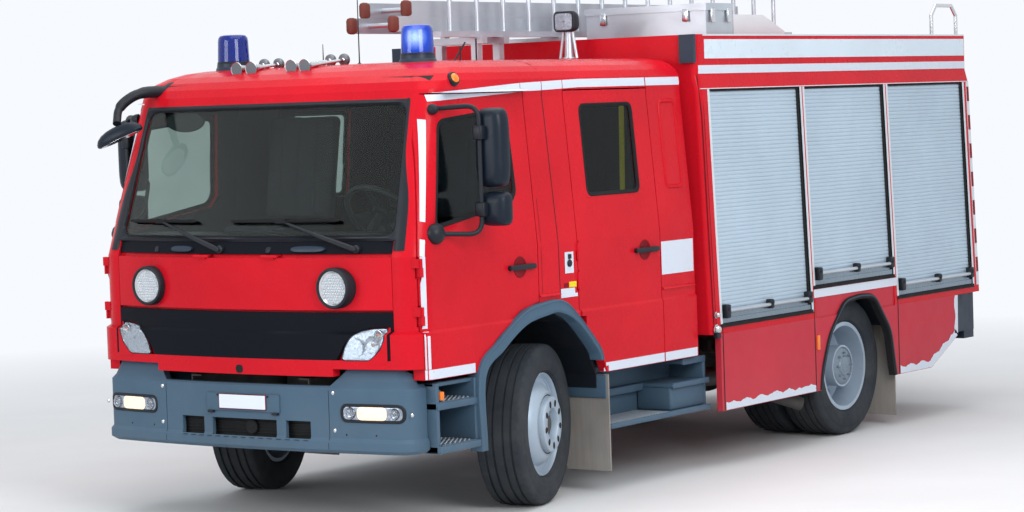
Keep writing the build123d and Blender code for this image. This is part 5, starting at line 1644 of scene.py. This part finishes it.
def add_wheel_discs():
    for side, end in SIDE_ENDS:
        axis = REST_AXIS[side] * side
        centre = front_wheel_centre(side)
        up = Vector((0, 0, 1))
        disc, holes, back = Shape(), Shape(), Shape()
        disc.lathe(RIM_SECTION, centre, axis, 72)
        disc.lathe(((-0.118, 0.276), (-0.116, 0.297), (-0.108, 0.2975), (-0.090, 0.285), (0.090, 0.285),
                    (0.085, 0.274)), centre, axis, 72, closed=True)
        nut_ring(disc, centre, axis, 0.1285, 0.071, 0.007, 6, 0.006)
        # Dark ovals stand in for the disc's holes: painted shade seen through them.
        dark_ovals(holes, centre, axis, up, 0.1773, 0.122, 0.0215, 0.0175, 9)
        back.lathe(((0.1428, 0.179), (0.1432, 0.1695), (0.1412, 0.1640)), centre, axis, 56, caps=False)
        back.lathe(((0.1297, 0.0869), (0.1257, 0.0800), (0.1313, 0.0663)), centre, axis, 56, caps=False)
        piece("disc_f" + end, disc, "wheel_f" + end, WHEEL_PAINT, ("rim_f" + end,), smooth=30)
        piece("disc_holes_f" + end, holes, "wheel_f" + end, RUBBER_AND_SHADE)
        piece("disc_groove_f" + end, back, "wheel_f" + end, RUBBER_AND_SHADE)
        axis = Vector((side, 0, 0))
        centre = Vector((side * TWIN_X[0], at(REAR_AXLE), AXLE_Z))
        hub = Shape()
        deep = Shape()
        # Dark ovals stand in for the rear dish's holes: painted shade seen through them.
        dark_ovals(deep, centre, axis, Vector((0, 0, 1)), -0.1508, 0.160, 0.025, 0.026, 8)
        hub.lathe(((0.1050, 0.128), (0.112, 0.120), (0.116, 0.106), (0.116, 0.070), (0.124, 0.062),
                   (0.126, 0.040), (0.127, 0.001)), centre, axis, 40)
        nut_ring(hub, centre, axis, 0.116, 0.088, 0.008, 8, 0.008)
        piece("hub_r" + end, hub, "wheel_r" + end, FOOT_METAL)
        piece("disc_holes_r" + end, deep, "wheel_r" + end, RUBBER_AND_SHADE)


add_wheel_discs()


# Bumper details

def front_patch(shape, skin, outline, lift, depth=0.0, runs=6, radius=0.006):
    """A raised patch on the front, with its sides going down to the skin."""
    points = rounded(outline, radius, 3, runs)
    rings = [[on_front(skin, x, z, h) for x, z in points] for h in (depth, lift)]
    return shape.loft(rings)


def add_bumper_details():
    seams, screws, holder, plate, rims, dark, lamps, blocks = (Shape() for _ in range(8))
    for side in SIDES:
        x = side * 0.596
        rings = [[on_front(BUMPER_SKIN, x + d, z, 0.0006) for d in (-0.0016, 0.0016)]
                 for z in [0.458 + 0.335 * k / 20 for k in range(21)]]
        seams.loft(rings, closed=False)
        for dx, z in ((0.030, 0.765), (0.036, 0.560), (0.52, 0.655)):
            place = on_front(BUMPER_SKIN, side * (0.596 + dx), z, -0.001)
            screws.lathe(((0.0, 0.011), (0.003, 0.0105), (0.005, 0.006), (0.0052, 0.001)), place, (0, -1, 0),
                         14)
        for dx in (0.11, 0.30):
            place = on_front(BUMPER_SKIN, side * (0.596 + dx), 0.540, 0.0)
            dark.lathe(((0.0, 0.006), (0.0008, 0.005), (0.0009, 0.001)), place, (0, -1, 0), 10)
        side_block(lamps, side, 1.150, 1.176, -1.022, -0.988, 0.716, 0.764, 0.006)
        side_block(blocks, side, 1.095, 1.152, -1.050, -0.985, 0.706, 0.772, 0.008)
    front_patch(holder, BUMPER_SKIN, upright(-0.265, 0.265, 0.645, 0.745), 0.008, -0.001, 8,
                0.008)
    for x in (-0.235, 0.235):
        rounded_block(dark, (x - 0.020, at(-1.306), 0.632), (x + 0.020, at(-1.285), 0.646), 0.003)
    for x in (-0.183, 0.183):
        place = on_front(BUMPER_SKIN, x, 0.733, 0.008)
        dark.lathe(((0.0, 0.006), (0.003, 0.005), (0.0032, 0.001)), place, (0, -1, 0), 10)
    front_patch(rims, BUMPER_SKIN, upright(-0.172, 0.172, 0.657, 0.7415), 0.0105, 0.007, 6,
                0.003)
    front_patch(plate, BUMPER_SKIN, upright(-0.168, 0.168, 0.661, 0.7375), 0.0118, 0.009, 6,
                0.003)
    back = Shape()
    back.box((-0.50, at(-1.232), 0.500), (0.50, at(-1.224), 0.615))
    for k in range(5):
        z = 0.520 + k * 0.019
        back.box((-0.50, at(-1.240), z), (0.50, at(-1.231), z + 0.005))
    back.lathe(((0.0, 0.040), (-0.010, 0.042), (-0.014, 0.036), (-0.010, 0.024), (-0.012, 0.010),
                (-0.012, 0.001)), (0.02, at(-1.240), 0.556), (0, 1, 0), 24)
    notch = Shape()
    front_patch(notch, SHELL_SKIN, upright(-0.026, 0.026, 0.862, 0.908), 0.001, -0.001, 3, 0.022)
    treads = Shape()
    for k in range(15):
        x = -0.44 + 0.063 * k
        place = on_front(BUMPER_SKIN, x, 0.477, 0.0)
        rounded_block(treads, (x - 0.018, place.y - 0.003, 0.4985), (x + 0.018, place.y + 0.006, 0.5035),
                      0.002)
    piece("bumper_seams", seams, "chassis", RUBBER_AND_SHADE)
    piece("bumper_screws", screws, "chassis", CHROME)
    piece("plate_holder", holder, "chassis", GREY_PLASTIC, bevel=0.002)
    piece("plate_rim", rims, "chassis", DEEP_RED)
    piece("blank_plate", plate, "chassis", PLATE_WHITE)
    piece("bumper_dark", dark, "chassis", BLACK_PLASTIC)
    piece("grille_back", back, "chassis", RUBBER_AND_SHADE)
    piece("lip_notch", notch, "chassis", RUBBER_AND_SHADE)
    piece("lip_grips", treads, "chassis", SLATE_PLASTIC)
    piece("turn_lamps", lamps, "chassis", ORANGE_LENS)
    piece("turn_lamp_blocks", blocks, "chassis", GREY_PLASTIC)


add_bumper_details()


# Steps

STEP_FRONT = -1.053
STEP_REAR = -0.684
# Rows of a plate: x, x, station, station, z, z
STEP_PLATES = ((0.860, 0.890, STEP_FRONT, STEP_REAR, 0.430, 0.812),
               (0.890, 1.180, STEP_FRONT, STEP_REAR, 0.665, 0.705),
               (0.890, 1.190, STEP_FRONT, STEP_REAR, 0.430, 0.470),
               (0.860, 1.170, STEP_FRONT, STEP_FRONT + 0.025, 0.430, 0.812),
               (0.860, 1.170, STEP_REAR - 0.025, STEP_REAR, 0.430, 0.812),
               (0.860, 1.150, STEP_FRONT, STEP_REAR, 0.790, 0.812),
               (0.433, 0.860, -0.960, -0.900, 0.640, 0.760), (0.870, 1.160, 0.640, 1.765, 0.375, 0.400),
               (0.870, 1.150, 1.345, 1.765, 0.540, 0.565), (0.850, 0.875, 0.640, 1.765, 0.375, 0.702),
               (1.000, 1.125, 1.500, 1.765, 0.670, 0.702), (0.850, 1.125, 0.640, 0.665, 0.375, 0.702),
               (0.850, 1.125, 1.740, 1.765, 0.375, 0.702), (0.860, 0.930, 0.640, 1.350, 0.520, 0.565),
               (0.433, 0.850, 0.760, 0.820, 0.640, 0.700), (0.433, 0.850, 1.560, 1.620, 0.640, 0.700))


def add_steps():
    grate, boxes, noses, pads, plates, treads = (Shape() for _ in range(6))
    for side in SIDES:
        for row in STEP_PLATES:
            side_block(plates, side, *row, 0.005)
        side_block(noses, side, 0.900, 1.172, 0.577, 0.5855, 0.560, 0.698, 0.006)
        for k in range(19):
            s = 0.672 + k * 0.0345
            side_block(treads, side, 0.895, 1.148, s, s + 0.0125, 0.3985, 0.4012, 0.0006)
        side_block(boxes, side, 0.880, 1.128, 1.352, 1.738, 0.400, 0.556, 0.014)
        for low, high, x, s in ((0.370, 0.4035, 1.152, 0.642), (0.535, 0.5685, 1.142, 1.347),
                                (0.664, 0.7045, 1.118, 1.502)):
            side_block(noses, side, x, x + 0.012, s, 1.763, low, high, 0.005)
        for z, x in ((0.7045, 1.165), (0.4695, 1.175)):
            side_block(pads, side, 0.90, x, -1.020, -0.712, z, z + 0.0035, 0.0015)
            for i in range(9):
                for j in range(7):
                    place = Vector((side * (0.925 + i * 0.027), at(-1.000 + j * 0.044), z + 0.003))
                    grate.lathe(((0.0, 0.0075), (0.003, 0.006), (0.0042, 0.0025)), place, (0, 0, 1), 8)
    piece("step_frames", plates, "chassis", GREY_PLASTIC, ("steps",))
    piece("step_grates", grate, "chassis", ALUMINIUM)
    piece("step_treads", treads, "chassis", RAIL_METAL)
    piece("step_boxes", boxes, "chassis", GREY_PLASTIC)
    piece("step_noses", noses, "chassis", GREY_PLASTIC)
    piece("step_pads", pads, "chassis", FOOT_METAL)


add_steps()


# Roof fittings

HORNS = ((-0.420, 0.250), (-0.310, 0.250), (-0.010, 0.360), (0.090, 0.360))


def add_horns():
    pipes, mouths, drivers = Shape(), Shape(), Shape()
    for x, reach in HORNS:
        start = Vector((x, at(-0.760), 2.550))
        way = Vector((0, 1, 0.1)).normalized()
        length = reach * 1.005
        pipes.lathe(((0.003, 0.038), (0.0, 0.042), (0.004, 0.043), (0.014, 0.035), (0.034, 0.024),
                     (0.070, 0.017), (0.130, 0.012), (length - 0.02, 0.009), (length - 0.015, 0.013),
                     (length, 0.013)), start, way, 32)
        mouths.lathe(((0.002, 0.0405), (0.0045, 0.030), (0.006, 0.012), (0.0062, 0.001)), start, way, 32)
        end = start + way * length
        drivers.lathe(((-0.014, 0.020), (-0.012, 0.034), (-0.004, 0.036), (0.004, 0.036), (0.012, 0.033),
                       (0.016, 0.020), (0.018, 0.004)), end, way, 28)
        for t in (0.10, length):
            foot = start + way * t
            drivers.tube([(x, foot.y, 2.50), (x, foot.y, foot.z - 0.008)], 0.0055, 8)
            rounded_block(drivers, (x - 0.016, foot.y - 0.012, foot.z - 0.052),
                          (x + 0.016, foot.y + 0.012, foot.z - 0.040), 0.003)
    piece("horn_pipes", pipes, "chassis", CHROME, ("air_horns",))
    piece("horn_mouths", mouths, "chassis", HORN_METAL)
    piece("horn_drivers", drivers, "chassis", HORN_METAL)


def lit_lens():
    """A blue lamp cover that shines pale where its reflector points."""
    g = Graph("lit_lens")
    spot = g.add("ShaderNodeVectorMath", {0: g.place, 1: (0.730, at(-0.557), 2.690)},
                 operation="DISTANCE").outputs["Value"]
    near = g.ramp(spot, 0.075, 0.012)
    flutes = g.ramp(g.noise(90, 2), 0.3, 0.7, 0.75, 1.0)
    tone = g.mix(near, rgb(0.0, 0.10, 0.75), rgb(0.70, 0.95, 1.0))
    glow = g.maths("MULTIPLY", g.ramp(spot, 0.12, 0.0, 0.06, 0.95), flutes)
    return g.set(Base_Color=rgb(0.002, 0.035, 0.42), Roughness=0.08, Transmission_Weight=0.45, IOR=1.45,
                 Emission_Color=tone, Emission_Strength=glow)


def add_beacons():
    bases, inners, rings = Shape(), Shape(), Shape()
    for side in SIDES:
        lens = Shape()
        centre = Vector((side * 0.684, at(-0.479), 0))
        bases.lathe(((2.480, 0.124), (2.522, 0.1245), (2.534, 0.118), (2.548, 0.108), (2.566, 0.104),
                     (2.570, 0.100), (2.589, 0.098), (2.592, 0.080)), centre, (0, 0, 1), 56)
        rings.lathe(((2.588, 0.0975), (2.600, 0.0965), (2.603, 0.0945), (2.588, 0.0935)), centre, (0, 0, 1),
                    56, closed=True)
        lens.lathe(((2.590, 0.0945), (2.605, 0.0940), (2.725, 0.0890), (2.742, 0.0860), (2.755, 0.0760),
                    (2.7600, 0.060), (2.7615, 0.001), (2.7575, 0.001), (2.7560, 0.058), (2.751, 0.0735),
                    (2.739, 0.0825), (2.724, 0.0855), (2.605, 0.0905), (2.590, 0.0910)), centre, (0, 0, 1),
                   56)
        inners.lathe(((2.590, 0.045), (2.610, 0.045), (2.615, 0.020), (2.660, 0.018), (2.668, 0.034),
                      (2.705, 0.040), (2.712, 0.020), (2.730, 0.004)), centre, (0, 0, 1), 24)
        if side > 0:
            piece("beacon_lens_left", lens, "chassis", lit_lens(), ("beacons",))
        else:
            piece("beacon_lens_right", lens, "chassis", BLUE_LENS)
    piece("beacon_bases", bases, "chassis", SLATE_PLASTIC)
    piece("beacon_rings", rings, "chassis", BLACK_PLASTIC)
    piece("beacon_reflectors", inners, "chassis", CHROME)


def lamp_face(x, z, share, radius):
    """The work lamp's outline about a point, shrunk by a share."""
    wide, tall = 0.080 * share, 0.065 * share
    return rounded(((x - wide, z - tall), (x + wide, z - tall), (x + wide, z + tall), (x - wide, z + tall)),
                   radius, 6)


def add_work_lamp():
    shell, glass, bright, struts = Shape(), Shape(), Shape(), Shape()
    low, high = (0.242, at(1.502), 2.738), (0.403, at(1.588), 2.870)
    cx, cz = (low[0] + high[0]) / 2, (low[2] + high[2]) / 2
    rings = []
    for y, share in ((low[1], 0.93), (low[1] + 0.006, 1.0), (low[1] + 0.030, 1.0), (high[1] - 0.014, 0.86),
                     (high[1], 0.62)):
        rings.append([(x, y, z) for x, z in lamp_face(cx, cz, share, 0.034)])
    shell.loft(rings)
    for shape, share, depths in ((glass, 0.80, (-0.003, 0.002)), (bright, 0.78, (-0.0005, 0.001))):
        outline = lamp_face(cx, cz, share, 0.026)
        shape.loft([[(x, low[1] + d, z) for x, z in outline] for d in depths])
    bright.lathe(((-0.001, 0.024), (-0.002, 0.018), (-0.001, 0.008), (-0.001, 0.001)), (cx, low[1], cz),
                 (0, 1, 0), 24)
    for x in (0.262, 0.388):
        struts.tube([(x, at(1.545), 2.572), (x + (0.030 if x < 0.3 else -0.030), at(1.545), 2.742)], 0.010,
                    12)
    struts.lathe(((0.0, 0.050), (0.006, 0.050), (0.008, 0.030), (0.120, 0.024), (0.166, 0.022)),
                 (0.330, at(1.545), 2.572), (0, 0, 1), 28)
    piece("work_lamp_shell", shell, "chassis", BLACK_PLASTIC, ("work_lamp",), bevel=0.002)
    piece("work_lamp_glass", glass, "chassis", RIBBED_LENS)
    piece("work_lamp_bowl", bright, "chassis", REFLECTOR)
    piece("work_lamp_struts", struts, "chassis", ALUMINIUM)


def add_roof_details():
    caps, amber, hoods, whips, latches = (Shape() for _ in range(5))
    for x in (-0.420, -0.100):
        for s, z in ((0.320, 2.757), (0.450, 2.8503)):
            rounded_block(caps, (x - 0.024, at(s - 0.042), z - 0.004), (x + 0.024, at(s + 0.030), z + 0.097),
                          0.020)
    for side in SIDES:
        place = on_side(CAB_SKIN, -0.700, 2.445, side, 0)
        outward = Vector((side * 0.90, -0.12, 0.42)).normalized()
        hoods.lathe(((-0.010, 0.040), (0.008, 0.040), (0.018, 0.036), (0.020, 0.030), (0.018, 0.029),
                     (0.010, 0.028)), place, outward, 28)
        amber.lathe(((0.012, 0.029), (0.022, 0.027), (0.028, 0.018), (0.029, 0.001)), place, outward, 24)
    for x, s, top, radius in ((-0.360, 0.300, 2.960, 0.003), (-0.560, 0.200, 2.700, 0.002)):
        whips.tube([(x, at(s), 2.540), (x, at(s), 2.590), (x, at(s), top)], [0.010, 0.004, radius], 8)
        whips.lathe(((0.0, 0.022), (0.010, 0.020), (0.022, 0.010)), (x, at(s), 2.555), (0, 0, 1), 16)
    hit = SHELL_SKIN.ray_cast(Vector((0.559, at(0.021), 4)), Vector((0, 0, -1)))[0]
    rounded_block(whips, (0.535, at(-0.010), hit.z - 0.004), (0.583, at(0.052), hit.z + 0.010), 0.006)
    whips.tube([(0.559, at(0.035), hit.z + 0.008), (0.566, at(0.130), hit.z + 0.110)], 0.005, 8)
    low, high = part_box("roof_box_lid")
    for s in (low[1] + 0.07, high[1] - 0.07):
        rounded_block(latches, (high[0], s - 0.022, low[2] - 0.070),
                      (high[0] + 0.014, s + 0.022, low[2] + 0.020), 0.005)
    for x in (low[0] + 0.15, high[0] - 0.15):
        rounded_block(latches, (x - 0.022, low[1] - 0.012, low[2] - 0.060),
                      (x + 0.022, low[1] + 0.002, low[2] + 0.020), 0.005)
    piece("ladder_caps", caps, "chassis", BROWN_CAP)
    piece("roof_edge_lamp_hoods", hoods, "chassis", BLACK_PLASTIC)
    piece("roof_edge_lamps", amber, "chassis", ORANGE_LENS)
    piece("whip_aerials", whips, "chassis", BLACK_PLASTIC)
    piece("box_latches", latches, "chassis", CHROME)


def add_rear_lamps():
    shells, red, orange, white = Shape(), Shape(), Shape(), Shape()
    for side in SIDES:
        side_block(shells, side, 0.880, 1.130, 5.364, 5.388, 0.560, 0.700, 0.012)
        for x0, x1, shape in ((0.890, 0.965, white), (0.970, 1.045, red), (1.050, 1.120, orange)):
            side_block(shape, side, x0, x1, 5.380, 5.3945, 0.572, 0.688, 0.008)
    piece("rear_lamp_shells", shells, "chassis", BLACK_PLASTIC)
    piece("rear_lamp_red", red, "chassis", RED_LENS)
    piece("rear_lamp_orange", orange, "chassis", ORANGE_LENS)
    piece("rear_lamp_white", white, "chassis", LENS)


add_horns()
add_beacons()
add_work_lamp()
add_roof_details()
add_rear_lamps()


# Seats and fittings of the cab

# How far a pad may swell, and the depth and width of its sewn channels
PAD_SWELL = 0.009
CHANNEL_DEPTH = 0.007
CHANNEL_WIDTH = 0.007


def channelled_pad(name, low, high, lean, voxel, channels):
    """A stuffed pad: a rounded block that swells under its filling, with sewn channels pressed in after."""
    shape = Shape()
    gap = 0.010
    rounded_block(shape, tuple(v + gap for v in low), tuple(v - gap for v in high), 0.028)
    shape.verts = [Vector((v.x, v.y + (v.z - low[2]) * lean, v.z)) for v in shape.verts]
    thing = piece(name, shape, "chassis", FABRIC)
    remesh = thing.modifiers.new("remesh", "REMESH")
    remesh.mode = "VOXEL"
    remesh.voxel_size = voxel
    graph = bpy.context.evaluated_depsgraph_get()
    dense = bpy.data.meshes.new_from_object(thing.evaluated_get(graph))
    thing.modifiers.clear()
    thing.data = dense
    start = [v.co.copy() for v in dense.vertices]
    fill = thing.modifiers.new("fill", "CLOTH")
    fill.settings.use_pressure = True
    fill.settings.uniform_pressure_force = 4
    fill.settings.effector_weights.gravity = 0
    for number in range(1, 21):
        bpy.context.scene.frame_set(number)
    graph = bpy.context.evaluated_depsgraph_get()
    moved = [v.co.copy() for v in thing.evaluated_get(graph).data.vertices]
    thing.modifiers.clear()
    for vertex, before, after in zip(dense.vertices, start, moved):
        way = after - before
        if way.length > PAD_SWELL:
            way *= PAD_SWELL / way.length
        place = before + way
        for channel in channels:
            press = CHANNEL_DEPTH * math.exp(-((place.x - channel) / CHANNEL_WIDTH) ** 2)
            place -= vertex.normal * press
        vertex.co = place
    bpy.context.scene.frame_set(1)
    dense.shade_smooth()
    finer = thing.modifiers.new("finer", "SUBSURF")
    finer.levels = 1
    finer.render_levels = 1
    return thing


def add_seats():
    bases = Shape()
    for name, x0, x1, s0, voxel in (("left", 0.290, 0.830, -0.520, 0.0095),
                                    ("right", -0.830, -0.290, -0.520, 0.0095),
                                    ("crew", -1.000, 1.000, 0.900, 0.0145)):
        rounded_block(bases, (x0 + 0.04, at(s0 + 0.04), 1.2405), (x1 - 0.04, at(s0 + 0.42), 1.522), 0.012)
        width = x1 - x0
        panels = 8 if width > 1 else 4
        channels = [x0 + width * k / panels for k in range(1, panels)]
        for part, low, high, lean in (("cushion", (x0, at(s0), 1.524), (x1, at(s0 + 0.48), 1.640), 0.0),
                                      ("back", (x0, at(s0 + 0.395), 1.640), (x1, at(s0 + 0.492), 2.280),
                                       0.150)):
            pad = channelled_pad("seat_%s_%s" % (part, name), low, high, lean, voxel, channels)
            if part == "cushion" and name == "left":
                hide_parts("seats")
    piece("seat_bases", bases, "chassis", BLACK_PLASTIC, bevel=0.003)


POLE_LOW = (0.930, at(1.184), 1.700)
POLE_HIGH = (0.930, at(1.202), 2.330)


def add_cab_fittings():
    rails, pole, oval = Shape(), Shape(), Shape()
    for side in SIDES:
        rails.tube(smooth_path(((side * 1.02, at(-0.90), 1.92), (side * 0.985, at(-0.925), 1.90),
                                (side * 0.97, at(-0.985), 1.74), (side * 1.02, at(-1.0), 1.70)), 0.03),
                   0.011, 12)
    pole.tube([POLE_LOW, POLE_HIGH], 0.016, 14)
    middle = Vector((-0.706, at(-0.905), 2.259))
    ring = []
    for depth, share in ((0.0, 0.6), (0.004, 0.95), (0.014, 1.0), (0.022, 0.9), (0.026, 0.4)):
        ring.append([middle + Vector((math.cos(a) * 0.150 * share, depth, math.sin(a) * 0.062 * share))
                     for a in turns(36)])
    oval.loft(ring)
    oval.tube([middle + Vector((0.0, 0.02, 0.0)), middle + Vector((0.0, 0.06, 0.14))], 0.008, 10)
    piece("grab_rails", rails, "chassis", BLACK_PLASTIC)
    piece("crew_pole", pole, "chassis", POLE_PAINTED_GLOW)
    piece("inner_mirror", oval, "chassis", BLACK_PLASTIC)


add_seats()
add_cab_fittings()


# Floor, light and background

BACKGROUND = (0.93, 0.96, 1.0)


def make_floor():
    g = Graph("pale_floor")
    tone = g.mix(g.ramp(g.noise(0.6, 5), 0.3, 0.7), rgb(0.70, 0.71, 0.72), rgb(0.76, 0.77, 0.78))
    g.set(Base_Color=tone, Roughness=0.85)
    parts = g.add("ShaderNodeSeparateXYZ", {"Vector": g.place}).outputs
    reach = g.maths("SQRT", g.maths("ADD", g.maths("POWER", parts["X"], 2.0),
                                    g.maths("POWER", parts["Y"], 2.0)))
    rays = g.add("ShaderNodeLightPath").outputs
    seen_rays = g.maths("MAXIMUM", rays["Is Camera Ray"], g.maths("MAXIMUM", rays["Is Glossy Ray"],
                                                                  rays["Is Transmission Ray"]))
    glow = g.add("ShaderNodeEmission", {"Color": rgb(*BACKGROUND), "Strength": 1.0}).outputs[0]
    blend = g.add("ShaderNodeMixShader", {0: g.maths("MULTIPLY", g.ramp(reach, 4.2, 11.0), seen_rays)})
    g.tree.links.new(g.shader.outputs[0], blend.inputs[1])
    g.tree.links.new(glow, blend.inputs[2])
    g.tree.links.new(blend.outputs[0], g.tree.nodes["Material Output"].inputs["Surface"])
    shape = Shape().add([(-60, -60, 0), (60, -60, 0), (60, 60, 0), (-60, 60, 0)], [(0, 1, 2, 3)])
    mesh = bpy.data.meshes.new("floor")
    mesh.from_pydata([tuple(v) for v in shape.verts], [], shape.faces)
    mesh.materials.append(g.material)
    floor = bpy.data.objects.new("floor", mesh)
    bpy.context.scene.collection.objects.link(floor)


def make_world():
    world = bpy.data.worlds.new("studio")
    bpy.context.scene.world = world
    world.use_nodes = True
    tree = world.node_tree
    background = tree.nodes["Background"]
    rays = tree.nodes.new("ShaderNodeLightPath")
    seen = tree.nodes.new("ShaderNodeMath")
    seen.operation = "MAXIMUM"
    tree.links.new(rays.outputs["Is Camera Ray"], seen.inputs[0])
    through = tree.nodes.new("ShaderNodeMath")
    through.operation = "MAXIMUM"
    tree.links.new(rays.outputs["Is Transmission Ray"], through.inputs[0])
    tree.links.new(rays.outputs["Is Glossy Ray"], through.inputs[1])
    tree.links.new(through.outputs[0], seen.inputs[1])
    strength = tree.nodes.new("ShaderNodeMapRange")
    strength.inputs["To Min"].default_value = 0.55
    strength.inputs["To Max"].default_value = 1.0
    tree.links.new(seen.outputs[0], strength.inputs["Value"])
    tree.links.new(strength.outputs[0], background.inputs["Strength"])
    background.inputs["Color"].default_value = rgb(*BACKGROUND)


def area_light(name, place, target, size, power):
    data = bpy.data.lights.new(name, "AREA")
    data.shape = "RECTANGLE"
    data.size, data.size_y = size
    data.energy = power
    light = bpy.data.objects.new(name, data)
    light.location = place
    way = Vector(target) - Vector(place)
    light.rotation_euler = way.to_track_quat("-Z", "Y").to_euler()
    bpy.context.scene.collection.objects.link(light)


make_floor()
make_world()
area_light("overhead", (1, -1, 9), (0, 0, 1), (9, 12), 620)
area_light("key", (10, -7, 6), (0, -0.5, 1.2), (5, 5), 640)
area_light("front", (-3, -12, 4), (0, -2, 1.4), (5, 4), 330)

bpy.context.scene.view_settings.view_transform = "Standard"
